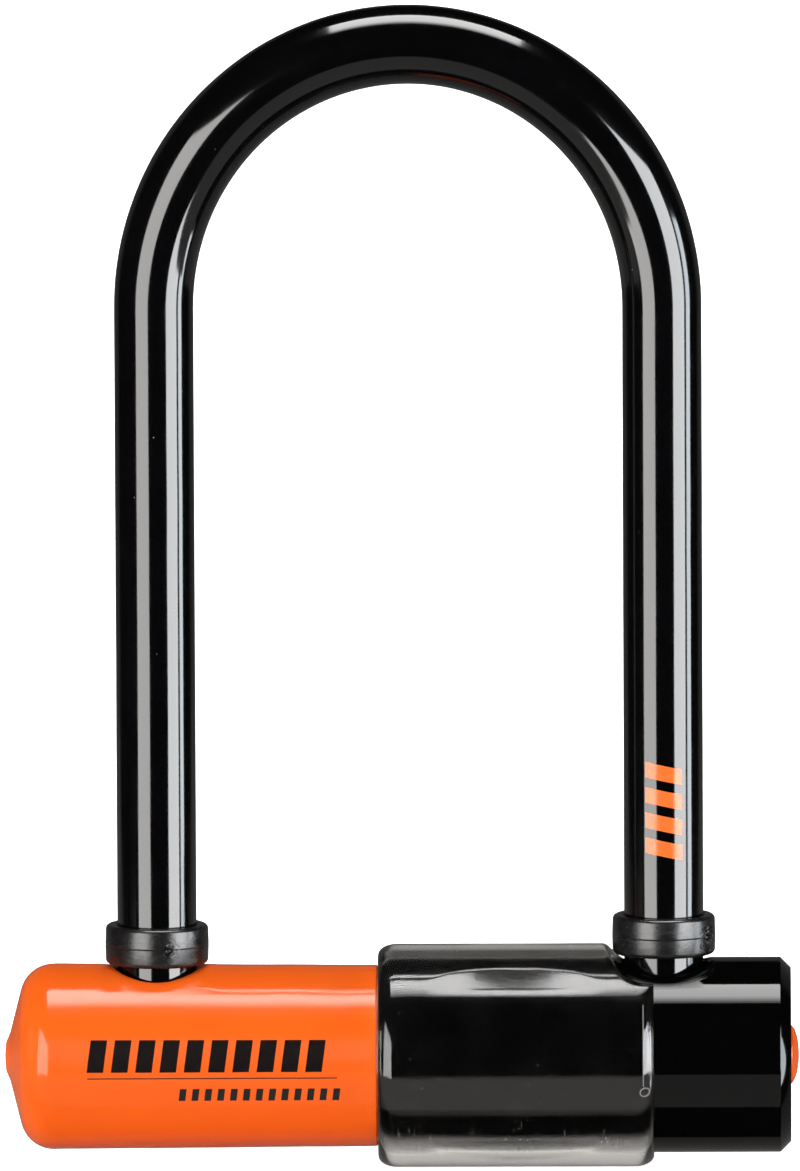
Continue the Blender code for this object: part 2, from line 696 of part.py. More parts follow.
def make_guide(name, span, head_hole):
    """A disc pinned in the tube, with a window for a bolt's bar and perhaps a hole for its head."""
    guide = rod(name, GUIDE_R, span[0], span[1], "bright_steel", "X", (0.0, 0.0, AXIS_Z), MEDIUM)
    low = (span[0] - MM, BOLT_FRONT - GAP, -BAR_HALF - GAP)
    high = (span[1] + MM, BOLT_BACK + GAP, BAR_HALF + GAP)
    cut(guide, block(name + "_window", low, high, at=(0.0, 0.0, AXIS_Z)))
    if head_hole:
        cut(guide, rod(name + "_hole", HEAD_R + GAP, span[0] - MM, span[1] + MM, axis="X",
                       at=(0.0, 0.0, AXIS_Z)))
    middle = guide_middle(span)
    cut(guide, rod(name + "_pin_bore", GUIDE_PIN_R + GAP, -TUBE_R, -7.0 * MM,
                   at=(middle, 0.0, AXIS_Z)))
    rod(name + "_pin", GUIDE_PIN_R, -13.8 * MM, -7.3 * MM, "bright_steel",
        at=(middle, 0.0, AXIS_Z), steps=12)
    return guide


# ---------------------------------------------------------------- assembly

def build():
    lift = pivot("shackle_slide", ((LEFT_LEG_X + RIGHT_LEG_X) / 2.0, 0.0, AXIS_Z))
    carry(lift, make_shackle_core(), make_shackle_coating(),
          make_collar("left_collar", LEFT_LEG_X, LEFT_COLLAR_BASE),
          make_collar("right_collar", RIGHT_LEG_X, RIGHT_COLLAR_BASE))

    make_crossbar_tube()
    make_end_plugs()
    make_orange_sleeve()
    make_armour_sleeve()
    make_end_button()
    make_clear_bumper()
    make_cylinder_housing()
    make_housing_pin()
    make_guide("left_outer_guide", LEFT_OUTER_GUIDE, True)
    make_guide("left_inner_guide", LEFT_INNER_GUIDE, False)
    make_guide("right_guide", RIGHT_GUIDE, True)

    turn = pivot("core_axis", on_core())
    carry(turn, make_lock_core(), make_front_disc(), *make_code_discs(), make_sidebar(),
          make_drive_cam(), *make_drive_pins(), make_cam_clip())

    carry(pivot("right_bolt_slide", (RIGHT_GUIDE[0], 0.0, AXIS_Z)), make_right_deadbolt())
    carry(pivot("left_bolt_slide", (LEFT_OUTER_GUIDE[0], 0.0, AXIS_Z)), make_left_deadbolt())
    carry(pivot("cover_axis", (CORE_X, 0.0, AXIS_Z)), make_dust_cover())


build()
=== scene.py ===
"""Looks for the U lock: glossy vinyl shackle, rubber collars, sleeved crossbar and clear bumper.

Metres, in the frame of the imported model.  Angles round the crossbar run from the back (+Y)
towards the top (+Z), so the front is at 180 degrees.
"""

import json
from math import asin, atan2, cos, hypot, pi, radians, remainder, sin, sqrt, tan

import bmesh
import bpy
from mathutils import Matrix, Vector, noise


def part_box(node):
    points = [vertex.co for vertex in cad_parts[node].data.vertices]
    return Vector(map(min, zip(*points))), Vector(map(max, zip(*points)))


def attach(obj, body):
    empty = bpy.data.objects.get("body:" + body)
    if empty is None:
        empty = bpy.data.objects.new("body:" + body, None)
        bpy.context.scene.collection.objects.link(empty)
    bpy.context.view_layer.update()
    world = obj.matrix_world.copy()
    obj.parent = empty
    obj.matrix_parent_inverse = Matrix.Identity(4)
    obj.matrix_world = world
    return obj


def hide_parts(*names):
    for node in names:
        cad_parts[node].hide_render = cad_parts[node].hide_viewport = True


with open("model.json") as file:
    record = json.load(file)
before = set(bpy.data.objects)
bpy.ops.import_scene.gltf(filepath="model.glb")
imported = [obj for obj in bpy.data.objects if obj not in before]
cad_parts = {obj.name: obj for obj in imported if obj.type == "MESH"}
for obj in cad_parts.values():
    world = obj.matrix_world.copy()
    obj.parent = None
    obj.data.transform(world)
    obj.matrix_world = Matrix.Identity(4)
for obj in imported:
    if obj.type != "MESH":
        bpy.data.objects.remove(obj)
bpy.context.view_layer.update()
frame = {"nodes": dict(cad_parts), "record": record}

MM = 0.001
RIGHT_ANGLE = pi / 2.0
UP = Vector((0.0, 0.0, 1.0))


def middle(node, axis):
    """Centre of a CAD node's box along one axis."""
    low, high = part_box(node)
    return (low[axis] + high[axis]) / 2.0


# ---- driving dimensions

AXIS_Z = middle("crossbar_tube", 2)
LEFT_X = middle("left_collar", 0)
RIGHT_X = middle("right_collar", 0)
CORE_X = middle("cylinder_housing", 0)
SKIN_LOW, SKIN_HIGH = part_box("shackle_coating")
ROD_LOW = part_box("shackle_core")[0]
ORANGE_LOW, ORANGE_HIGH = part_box("orange_sleeve")
ARMOUR_LOW, ARMOUR_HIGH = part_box("armour_sleeve")
BUTTON_LOW, BUTTON_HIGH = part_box("end_button")
BUMPER_LOW, BUMPER_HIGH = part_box("clear_bumper")

COAT_R = LEFT_X - SKIN_LOW.x
ROD_R = LEFT_X - ROD_LOW.x
COAT_BORE_R = ROD_R + 0.1 * MM
NOTCH_DEPTH = 3.5 * MM
NOTCH_HALF = 5.0 * MM
ARCH_RISE = 43.1 * MM
ARCH_Z = SKIN_HIGH.z - COAT_R - ARCH_RISE
SLEEVE_BORE_R = 14.3 * MM
ORANGE_R_LEFT = 15.25 * MM
ORANGE_R_RIGHT = 14.9 * MM
ARMOUR_R = 16.0 * MM
ARMOUR_CHAMFER = 1.75 * MM
ARMOUR_END_X = ARMOUR_HIGH.x - 0.65 * MM
BUMPER_R = BUMPER_HIGH.z - AXIS_Z
BUMPER_BORE_R = 16.3 * MM
BUTTON_R = 4.9 * MM
ORANGE_HOLE_R = 7.2 * MM
ARMOUR_HOLE_R = 8.0 * MM
BACK_HOLE_R = 8.4 * MM
WINDOW_R = 5.5 * MM
SWEEP_R = 7.3 * MM
SWEEP_X = BUMPER_HIGH.x - 0.8 * MM
SWEEP_Z = 20.4 * MM
POCKET_R = 17.65 * MM
COVER_R = (16.35 * MM, 17.35 * MM)

INK_DEPTH = 0.08 * MM
VIEW_AZIMUTH = radians(0.6)
VIEW_ELEVATION = radians(7.2)
VIEW_TILT = radians(7.9)


# ---- mesh helpers

class Hull:
    """Points and faces of one mesh, gathered loop by loop."""

    def __init__(self):
        self.points = []
        self.faces = []

    def loop(self, points):
        start = len(self.points)
        self.points.extend(points)
        return list(range(start, len(self.points)))

    def bridge(self, a, b, closed=True):
        count = len(a)
        for i in range(count if closed else count - 1):
            j = (i + 1) % count
            self.faces.append((a[i], a[j], b[j], b[i]))

    def stack(self, loops, wrap=False):
        for a, b in zip(loops, loops[1:]):
            self.bridge(a, b)
        if wrap:
            self.bridge(loops[-1], loops[0])

    def grid(self, rows):
        """An open sheet from rows of points; returns its loops."""
        loops = [self.loop(row) for row in rows]
        for a, b in zip(loops, loops[1:]):
            self.bridge(a, b, closed=False)
        return loops

    def cap(self, loop, point):
        tip = self.loop([point])[0]
        for i, start in enumerate(loop):
            self.faces.append((start, loop[(i + 1) % len(loop)], tip))


def add_object(name, data):
    obj = bpy.data.objects.new(name, data)
    bpy.context.scene.collection.objects.link(obj)
    return obj


def add_mesh(name, hull):
    """A smooth-shaded object from a hull, with its faces turned outwards."""
    mesh = bpy.data.meshes.new(name)
    mesh.from_pydata(hull.points, [], hull.faces)
    form = bmesh.new()
    form.from_mesh(mesh)
    bmesh.ops.recalc_face_normals(form, faces=form.faces)
    form.to_mesh(mesh)
    form.free()
    return add_object(name, mesh)


def dress(obj, body, slot, stands_for=(), crisp=38.0, finish=None):
    """Shade a piece, give it its slot's look or its own, and fix it to its body."""
    obj.data.shade_smooth()
    obj.data.set_sharp_from_angle(angle=radians(crisp))
    obj.data.materials.clear()
    obj.data.materials.append(finish or LOOKS[slot])
    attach(obj, body)
    if stands_for:
        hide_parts(*stands_for)
    return obj


def rounded(corners, steps=4):
    """An outline whose corners (a, b, radius) are rounded off."""
    points = []
    count = len(corners)
    for i, (a, b, radius) in enumerate(corners):
        here = Vector((a, b))
        if radius <= 0.0 or i in (0, count - 1):
            points.append((a, b))
            continue
        before = Vector(corners[i - 1][:2]) - here
        after = Vector(corners[i + 1][:2]) - here
        half = before.angle(after) / 2.0
        reach = min(radius / tan(half), before.length * 0.49, after.length * 0.49)
        start = here + before.normalized() * reach
        end = here + after.normalized() * reach
        inward = (before.normalized() + after.normalized()).normalized()
        centre = here + inward * (reach / cos(half))
        turn_r = (start - centre).length
        for k in range(steps + 1):
            blend = start.lerp(end, k / steps) - centre
            points.append(tuple(centre + blend.normalized() * turn_r))
    return points


def ellipse_arc(centre, radii, start, end, count):
    """Points on an ellipse's arc, with angles in degrees."""
    points = []
    for i in range(count + 1):
        angle = radians(start + (end - start) * i / count)
        points.append((centre[0] + radii[0] * cos(angle), centre[1] + radii[1] * sin(angle)))
    return points


def wobble(point, size, height):
    """A small smooth offset that depends only on the place."""
    return noise.noise(Vector(point) / size) * height


def circle(count):
    return [2.0 * pi * i / count for i in range(count)]


def on_bar(x, angle, radius):
    """A point at a radius round the crossbar's axis."""
    return (x, radius * cos(angle), AXIS_Z + radius * sin(angle))


def turned(name, profile, place, count=96, ring=False):
    """Turn (radius, height) points; place(radius, height, angle) gives a point."""
    hull = Hull()
    loops = []
    tips = []
    for radius, height in profile:
        if radius < 1e-7:
            tips.append((len(loops), place(0.0, height, 0.0)))
            continue
        loops.append(hull.loop([place(radius, height, a) for a in circle(count)]))
    hull.stack(loops, wrap=ring)
    for index, point in tips:
        hull.cap(loops[0] if index == 0 else loops[-1], point)
    return add_mesh(name, hull)


def slab(hull, counts, place, levels):
    """A closed thin plate between two levels of place(0..1, 0..1, level)."""
    wide, deep = counts
    rims = []
    for level in levels:
        grid = hull.grid([[place(i / wide, j / deep, level) for j in range(deep + 1)]
                          for i in range(wide + 1)])
        rims.append(grid[0] + [row[-1] for row in grid[1:]] + grid[-1][-2::-1]
                    + [row[0] for row in reversed(grid[1:-1])])
    hull.bridge(*rims)


def join(obj, *others):
    """Move other objects' meshes into this one."""
    form = bmesh.new()
    form.from_mesh(obj.data)
    for other in others:
        form.from_mesh(other.data)
        bpy.data.objects.remove(other)
    form.to_mesh(obj.data)
    form.free()


def bead(name, points, outs, radius, sides=8, closed=False):
    """A thin tube along points, capped unless closed; outs point off the surface."""
    hull = Hull()
    loops = []
    count = len(points)
    for i, (point, out) in enumerate(zip(points, outs)):
        here = Vector(point)
        ahead = Vector(points[(i + 1) % count] if closed or i + 1 < count else point)
        behind = Vector(points[i - 1] if closed or i > 0 else point)
        side = (ahead - behind).normalized().cross(out).normalized()
        thick = radius[i] if isinstance(radius, list) else radius
        loops.append(hull.loop([here + (side * cos(a) + out * sin(a)) * thick
                                for a in circle(sides)]))
    hull.stack(loops, wrap=closed)
    if not closed:
        hull.cap(loops[0], Vector(points[0]))
        hull.cap(loops[-1], Vector(points[-1]))
    return add_mesh(name, hull)


def bars(name, fields, place, lift):
    """Thin plates on a surface; each field is a corner, a way along and a way up in (u, v)."""
    hull = Hull()
    for corner, along, up in fields:
        def at(s, t, height):
            u, v = (corner[k] + along[k] * s + up[k] * t for k in (0, 1))
            return place(u, v, height)
        slab(hull, (8, 8), at, (lift, -INK_DEPTH))
    return add_mesh(name, hull)


# ---- sleeve sheets with round holes

class Sheet:
    """One side of a sleeve: a grid round the crossbar, with round holes let in."""

    def __init__(self, hull, rows, angles, holes=()):
        """rows give (x, radius) at an angle; holes are (rows, columns, x, angle, radius)."""
        self.hull = hull
        count = len(angles)
        skipped = set()
        covered = set()
        for (r0, r1), (c0, c1), _, _, _ in holes:
            skipped |= {(i, j % count) for i in range(r0 + 1, r1) for j in range(c0 + 1, c1)}
            covered |= {(i, j % count) for i in range(r0, r1) for j in range(c0, c1)}
        self.places = {}
        self.index = {}
        for i, row in enumerate(rows):
            for j, angle in enumerate(angles):
                x, radius = row(angle)
                self.places[i, j] = (x, angle, radius)
                if (i, j) not in skipped:
                    self.index[i, j] = hull.loop([on_bar(x, angle, radius)])[0]
        for i in range(len(rows) - 1):
            for j in range(count):
                if (i, j) in covered:
                    continue
                k = (j + 1) % count
                corners = ((i, j), (i, k), (i + 1, k), (i + 1, j))
                hull.faces.append(tuple(self.index[c] for c in corners))
        self.first = [self.index[0, j] for j in range(count)]
        self.last = [self.index[len(rows) - 1, j] for j in range(count)]
        self.rims = [self.let_in(hole, count) for hole in holes]

    def let_in(self, hole, count):
        """Rings of faces from a rectangle of the grid in to a round rim."""
        (r0, r1), (c0, c1), x0, angle0, hole_r = hole
        cells = [(r0, j) for j in range(c0, c1)]
        cells += [(i, c1) for i in range(r0, r1)]
        cells += [(r1, j) for j in range(c1, c0, -1)]
        cells += [(i, c0) for i in range(r1, r0, -1)]
        cells = [(i, j % count) for i, j in cells]
        outer = [self.index[c] for c in cells]
        radius = sum(self.places[c][2] for c in cells) / len(cells)
        turns = []
        flat = []
        for c in cells:
            x, angle, _ = self.places[c]
            swing = remainder(angle - angle0, 2.0 * pi)
            turns.append(atan2(swing * radius, x - x0))
            flat.append((x, angle0 + swing))
        rings = 6
        loops = [outer]
        for k in range(1, rings + 1):
            blend = k / rings
            points = []
            for (x, angle), turn in zip(flat, turns):
                rim_x = x0 + hole_r * cos(turn)
                rim_angle = angle0 + asin(hole_r * sin(turn) / radius)
                points.append(on_bar(x + (rim_x - x) * blend, angle + (rim_angle - angle) * blend, radius))
            loops.append(self.hull.loop(points))
        self.hull.stack(loops)
        return loops[-1], turns, radius


def hole_ring(hull, x0, angle0, hole_r, turns, radius, drop):
    """A loop round a hole's wall, a little below a surface of that radius."""
    out = Vector((0.0, cos(angle0), sin(angle0)))
    side = Vector((0.0, -sin(angle0), cos(angle0)))
    base = Vector((x0, 0.0, AXIS_Z))
    points = []
    for turn in turns:
        across = hole_r * sin(turn)
        height = sqrt(radius * radius - across * across) - drop
        points.append(base + Vector((hole_r * cos(turn), 0.0, 0.0)) + side * across + out * height)
    return hull.loop(points)


def line_hole(hull, outer, inner, x0, angle0, hole_r, soft, shares=(0.4, 0.8)):
    """The wall of a hole between two sheets, with a softened outer rim."""
    outer_loop, turns, outer_r = outer
    inner_loop, _, inner_r = inner
    loops = [outer_loop]
    for step in (1, 2, 3, 4):
        lean = RIGHT_ANGLE * step / 4.0
        rim_r = hole_r + soft * (1.0 - sin(lean))
        loops.append(hole_ring(hull, x0, angle0, rim_r, turns, outer_r, soft * (1.0 - cos(lean))))
    for share in shares:
        drop = soft + (outer_r - inner_r - soft) * share
        loops.append(hole_ring(hull, x0, angle0, hole_r, turns, outer_r, drop))
    loops.append(inner_loop)
    hull.stack(loops)


def spread(start, end, count):
    """Evenly spaced values, both ends included."""
    return [start + (end - start) * i / count for i in range(count + 1)]


# ---- material helpers

class Nodes:
    """Shorthand for building one node tree."""

    def __init__(self, tree):
        self.tree = tree

    def node(self, kind, inputs=None, **settings):
        made = self.tree.nodes.new("ShaderNode" + kind)
        for key, value in settings.items():
            setattr(made, key, value)
        for key, value in (inputs or {}).items():
            self.put(made.inputs[key], value)
        return made

    def put(self, socket, value):
        if isinstance(value, bpy.types.NodeSocket):
            self.tree.links.new(value, socket)
        else:
            socket.default_value = value

    def math(self, operation, *values):
        return self.node("Math", dict(enumerate(values)), operation=operation).outputs["Value"]

    def remap(self, value, low, high, to_low=0.0, to_high=1.0, kind='LINEAR'):
        ends = {"Value": value, "From Min": low, "From Max": high, "To Min": to_low, "To Max": to_high}
        return self.node("MapRange", ends, interpolation_type=kind).outputs["Result"]


class Finish(Nodes):
    """Shorthand for the nodes of one material; sizes are in millimetres."""

    def __init__(self, name):
        self.material = bpy.data.materials.new(name)
        self.material.use_nodes = True
        super().__init__(self.material.node_tree)
        self.shader = self.tree.nodes["Principled BSDF"]
        self.place = self.node("TexCoord").outputs["Object"]

    def set(self, **values):
        """Put values on the shader, and return the material."""
        for key, value in values.items():
            self.put(self.shader.inputs[key.replace("_", " ")], value)
        return self.material

    def noise(self, size, detail=2.0, stretch=(1.0, 1.0, 1.0)):
        """Noise with features of about this size."""
        scale = tuple(1.0 / (size * MM * s) for s in stretch)
        placed = self.node("Mapping", {"Vector": self.place, "Scale": scale})
        spots = {"Vector": placed.outputs["Vector"], "Scale": 1.0, "Detail": detail, "Roughness": 0.5}
        return self.node("TexNoise", spots).outputs["Fac"]

    def height(self):
        return self.node("SeparateXYZ", {"Vector": self.place}).outputs["Z"]

    def specks(self, size, share):
        """A mask of sparse specks; share is their radius over their spacing."""
        near = self.node("TexVoronoi", {"Vector": self.place, "Scale": 1.0 / (size * MM)})
        limit = self.remap(self.noise(size * 9.0, 1.0), 0.45, 0.75, 0.0, share)
        return self.math('LESS_THAN', near.outputs["Distance"], limit)

    def mix(self, factor, a, b):
        return self.node("Mix", {"Factor": factor, 6: a, 7: b}, data_type='RGBA').outputs[2]

    def gloss(self, value, low, high, spread=(0.3, 0.7)):
        """Roughness that wanders between two levels with a noise."""
        return self.remap(value, *spread, low, high)

    def bump(self, height, distance, under=None):
        made = self.node("Bump", {"Height": height, "Distance": distance * MM, "Strength": 1.0})
        if under is not None:
            self.put(made.inputs["Normal"], under)
        return made.outputs["Normal"]


def rgb(red, green, blue):
    return (red, green, blue, 1.0)


def black_vinyl():
    """Dipped vinyl: deep black, wet gloss, faint long waves and a few dust specks."""
    f = Finish("black_vinyl_look")
    specks = f.specks(3.2, 0.045)
    tone = f.mix(f.noise(14), rgb(0.001, 0.001, 0.0012), rgb(0.0022, 0.0022, 0.0026))
    soft = f.gloss(f.noise(5, 3.0), 0.07, 0.11)
    waves = f.bump(f.noise(9, 1.0, (1.0, 1.0, 2.2)), 0.03)
    return f.set(Base_Color=f.mix(specks, tone, rgb(0.16, 0.16, 0.15)), IOR=1.5,
                 Roughness=f.math('MAXIMUM', soft, f.math('MULTIPLY', specks, 0.6)),
                 Normal=f.bump(f.noise(0.5), 0.0006, waves))


def orange_vinyl():
    """Dipped vinyl: bright orange with a lumpy wet gloss."""
    f = Finish("orange_vinyl_look")
    tone = f.mix(f.noise(11, 3.0), rgb(0.8, 0.106, 0.0085), rgb(0.83, 0.118, 0.01))
    waves = f.bump(f.noise(8, 1.0), 0.05)
    return f.set(Base_Color=f.mix(f.specks(4.5, 0.03), tone, rgb(0.92, 0.4, 0.2)), IOR=1.34,
                 Roughness=f.gloss(f.noise(4, 3.0), 0.10, 0.16),
                 Normal=f.bump(f.noise(0.6), 0.0010, waves))


def black_armour():
    """Hard high-gloss black with a trace of orange peel."""
    f = Finish("black_armour_look")
    tone = f.mix(f.specks(3.6, 0.03), rgb(0.001, 0.001, 0.0011), rgb(0.1, 0.1, 0.1))
    return f.set(Base_Color=tone, IOR=1.37, Roughness=f.gloss(f.noise(3, 3.0), 0.03, 0.06),
                 Normal=f.bump(f.noise(1.3), 0.0012))


def black_rubber():
    """Moulded rubber: satin, with fine grain and rubbed patches."""
    f = Finish("black_rubber_look")
    rubbed = f.noise(2.6, 4.0, (1.0, 1.0, 0.35))
    grain = f.bump(f.noise(0.16, 3.0), 0.010)
    return f.set(Base_Color=f.mix(rubbed, rgb(0.004, 0.004, 0.0044), rgb(0.0095, 0.0092, 0.0092)), IOR=1.5,
                 Roughness=f.gloss(rubbed, 0.22, 0.31), Normal=f.bump(f.noise(3.0), 0.05, grain))


def clear_vinyl():
    """Thick clear vinyl, faintly smoky and hazy, with dust specks and scuffs low down."""
    f = Finish("clear_vinyl_look")
    haze = f.noise(6, 3.0)
    scuffs = f.remap(f.noise(0.6, 2.0, (0.20, 5.0, 5.0)), 0.66, 0.72)
    away = f.math('ABSOLUTE', f.math('SUBTRACT', f.height(), 8.0 * MM))
    low = f.remap(away, 1.5 * MM, 4.0 * MM, 1.0, 0.0)
    patchy = f.remap(f.noise(7), 0.42, 0.60)
    scuffs = f.math('MULTIPLY', scuffs, f.math('MULTIPLY', patchy, low))
    marks = f.math('MAXIMUM', f.specks(1.5, 0.075), scuffs)
    waves = f.bump(f.noise(9, 1.0, (2.5, 1.0, 1.0)), 0.05)
    fine = f.bump(f.noise(0.9), 0.0016, waves)
    return f.set(Base_Color=f.mix(haze, rgb(0.84, 0.82, 0.8), rgb(0.92, 0.91, 0.9)), IOR=1.46,
                 Roughness=f.math('MAXIMUM', f.gloss(haze, 0.075, 0.115), f.math('MULTIPLY', marks, 0.4)),
                 Transmission_Weight=1.0, Normal=f.bump(marks, 0.025, fine))


def metal(name, mottle, tones, rough, grooves, depth, over=None):
    """A worked metal: mottled tone and gloss over fine grooves, and a coarser relief on top."""
    f = Finish(name)
    spots = f.noise(*mottle)
    relief = f.bump(f.noise(*grooves), depth)
    if over:
        relief = f.bump(f.noise(*over[0]), over[1], relief)
    return f.set(Base_Color=f.mix(spots, *tones), Metallic=1.0,
                 Roughness=f.gloss(spots, *rough, (0.25, 0.75)), Normal=relief)


def hardened_steel():
    """Zinc-plated steel: satin, mottled, with fine machining underneath."""
    return metal("hardened_steel_look", (2.2, 4.0), (rgb(0.4, 0.4, 0.42), rgb(0.56, 0.56, 0.57)),
                 (0.28, 0.46), (0.25, 2.0, (1.0, 1.0, 12.0)), 0.003, ((0.7, 3.0), 0.006))


def bright_steel():
    """Machined steel: brighter, with fine tool marks."""
    return metal("bright_steel_look", (1.4, 3.0, (1.0, 4.0, 1.0)),
                 (rgb(0.56, 0.56, 0.58), rgb(0.7, 0.7, 0.71)), (0.20, 0.34),
                 (0.12, 2.0, (1.0, 14.0, 1.0)), 0.002)


def brass():
    """Turned brass with a light tarnish."""
    return metal("brass_look", (1.8, 4.0), (rgb(0.62, 0.42, 0.16), rgb(0.8, 0.6, 0.27)), (0.22, 0.38),
                 (0.15, 2.0, (1.0, 10.0, 1.0)), 0.002)


def black_plastic():
    """Satin moulded plastic with spark-eroded grain."""
    f = Finish("black_plastic_look")
    grain = f.noise(0.22, 3.0)
    return f.set(Base_Color=f.mix(f.noise(4), rgb(0.02, 0.02, 0.022), rgb(0.032, 0.032, 0.034)),
                 Roughness=f.gloss(grain, 0.38, 0.52), Normal=f.bump(grain, 0.008))


def ink(name, dark, light, thin):
    """Printed ink: nearly flat, with worn pinholes."""
    f = Finish(name)
    return f.set(Base_Color=f.mix(f.noise(0.8, 4.0), dark, light),
                 Roughness=f.gloss(f.noise(0.5, 3.0), 0.14, thin),
                 Normal=f.bump(f.noise(0.3), 0.0015))


def pale_highlight_and_flash_vinyl():
    """Whitened clear vinyl with an uneven density: a painted highlight for the bright line in the bumper's
    right rim, and the real colour of the moulding flash loop.
    """
    f = Finish("clouded_vinyl_look")
    return f.set(Base_Color=f.mix(f.noise(0.5, 3.0), rgb(0.1, 0.1, 0.1), rgb(0.38, 0.38, 0.37)),
                 Roughness=f.gloss(f.noise(0.3, 3.0), 0.3, 0.5),
                 Normal=f.bump(f.noise(0.12), 0.004))


LOOKS = {look.__name__: look() for look in (
    black_vinyl, black_rubber, orange_vinyl, black_armour, clear_vinyl, hardened_steel, bright_steel,
    brass, black_plastic)}
BLACK_INK = ink("black_ink_look", rgb(0.005, 0.003, 0.003), rgb(0.0085, 0.005, 0.0048), 0.24)
# Pale look for the painted highlight line in the bumper's rim and for its real flash loop
PALE_HIGHLIGHT_AND_FLASH_VINYL = pale_highlight_and_flash_vinyl()
ORANGE_INK = ink("orange_ink_look", rgb(0.8, 0.13, 0.012), rgb(0.9, 0.17, 0.018), 0.30)


# ---- shackle

def shackle_line(foot_z):
    """Stations (centre, way out) from the left foot, over the arch, to the right foot."""
    half = (RIGHT_X - LEFT_X) / 2.0
    centre_x = (RIGHT_X + LEFT_X) / 2.0
    leg_steps = 50
    arch_steps = 96
    heights = spread(foot_z, ARCH_Z, leg_steps)[:-1]
    line = [(Vector((LEFT_X, 0.0, z)), Vector((-1.0, 0.0, 0.0))) for z in heights]
    for angle in spread(pi, 0.0, arch_steps):
        centre = Vector((centre_x + half * cos(angle), 0.0, ARCH_Z + ARCH_RISE * sin(angle)))
        outward = Vector((cos(angle) / half, 0.0, sin(angle) / ARCH_RISE)).normalized()
        line.append((centre, outward))
    for z in spread(ARCH_Z, foot_z, leg_steps)[1:]:
        line.append((Vector((RIGHT_X, 0.0, z)), Vector((1.0, 0.0, 0.0))))
    return line


def tube_ring(station, radius, sides, wave=0.0):
    """Points round one station of the shackle."""
    centre, outward = station
    points = []
    for angle in circle(sides):
        way = outward * cos(angle) + Vector((0.0, sin(angle), 0.0))
        point = centre + way * radius
        if wave:
            point += way * (wobble(point, 11 * MM, wave) - wave / 2.0)
        points.append(point)
    return points


def shift(station, along):
    """A station moved down its own leg."""
    return station[0] - UP * along, station[1]


def make_shackle_skin():
    """The vinyl skin over the rod, with rolled lips at both feet."""
    hull = Hull()
    sides = 64
    lip = (COAT_R - COAT_BORE_R) / 2.0
    mid_r = (COAT_R + COAT_BORE_R) / 2.0
    line = shackle_line(SKIN_LOW.z + lip)
    turns = spread(0.0, pi, 6)[1:-1]

    def rolled(station, turn):
        low = shift(station, lip * sin(turn))
        return hull.loop(tube_ring(low, mid_r + lip * cos(turn), sides))

    loops = [hull.loop(tube_ring(s, COAT_R, sides, 0.02 * MM)) for s in line]
    loops += [rolled(line[-1], turn) for turn in turns]
    loops += [hull.loop(tube_ring(s, COAT_BORE_R, sides)) for s in reversed(line)]
    loops += [rolled(line[0], turn) for turn in reversed(turns)]
    hull.stack(loops, wrap=True)
    return dress(add_mesh("shackle_skin", hull), "shackle", "black_vinyl", ["shackle_coating"], 60.0)


def notch_cutter(name, x, inward):
    """A block that cuts a deadbolt's notch into one foot."""
    near = x + inward * (ROD_R - NOTCH_DEPTH)
    far = x + inward * 2.0 * ROD_R
    wide = 2.0 * ROD_R
    corners = ((near, -wide), (far, -wide), (far, wide), (near, wide))
    hull = Hull()
    loops = [hull.loop([(a, b, AXIS_Z + side * NOTCH_HALF) for a, b in corners]) for side in (-1.0, 1.0)]
    hull.bridge(*loops)
    hull.faces += [tuple(loop) for loop in loops]
    return add_mesh(name, hull)


def carve(obj, cutter):
    """Cut one mesh out of another for good, and remove the cutter."""
    step = obj.modifiers.new("carve", 'BOOLEAN')
    step.operation = 'DIFFERENCE'
    step.solver = 'EXACT'
    step.object = cutter
    bpy.context.view_layer.update()
    carved = bpy.data.meshes.new_from_object(obj.evaluated_get(bpy.context.evaluated_depsgraph_get()))
    obj.modifiers.clear()
    obj.data = carved
    bpy.data.objects.remove(cutter)


def make_shackle_rod():
    """The hardened rod, with chamfered and notched feet."""
    hull = Hull()
    sides = 56
    chamfer = 0.9 * MM
    line = shackle_line(ROD_LOW.z + chamfer)
    loops = [hull.loop(tube_ring(s, ROD_R, sides)) for s in line]
    for end, index in ((line[-1], -1), (line[0], 0)):
        ring = hull.loop(tube_ring(shift(end, chamfer), ROD_R - chamfer, sides))
        hull.bridge(loops[index], ring)
        hull.cap(ring, end[0] - UP * chamfer)
    hull.stack(loops)
    obj = add_mesh("shackle_rod", hull)
    carve(obj, notch_cutter("left_notch", LEFT_X, 1.0))
    carve(obj, notch_cutter("right_notch", RIGHT_X, -1.0))
    return dress(obj, "shackle", "hardened_steel", ["shackle_core"], 30.0)


def make_collar(name, node, mark_angle):
    """A rubber ring with rounded shoulders, a moulding line and a gate mark."""
    low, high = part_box(node)
    x = (low.x + high.x) / 2.0
    radius = (high.x - low.x) / 2.0
    height = high.z - low.z
    bore = COAT_R + 0.06 * MM
    seam = 0.49 * height
    nick = 0.13 * MM
    corners = [
        (bore, 0.25 * MM, 0.0),
        (bore + 0.3 * MM, 0.0, 0.15 * MM),
        (radius - 0.10 * MM, 0.0, 0.95 * MM),
        (radius - 0.01 * MM, seam - nick, 0.1 * MM),
        (radius - 0.08 * MM, seam, 0.01 * MM),
        (radius - 0.01 * MM, seam + nick, 0.1 * MM),
        (radius - 0.12 * MM, height, 1.15 * MM),
        (bore + 0.40 * MM, height, 0.3 * MM),
        (bore, height - 0.3 * MM, 0.0),
    ]
    profile = rounded(corners, steps=6)
    base = Vector((x, 0.0, low.z))

    def place(r, h, angle):
        point = base + Vector((r * cos(angle), r * sin(angle), h))
        sway = wobble(point, 4 * MM, 0.03 * MM) - 0.015 * MM
        return point + Vector((cos(angle), sin(angle), 0.0)) * sway

    obj = turned(name, profile, place, 120, ring=True)
    add_gate_mark(obj, base, radius, seam - 0.2 * MM, mark_angle)
    return dress(obj, "shackle", "black_rubber", [node], 45.0)


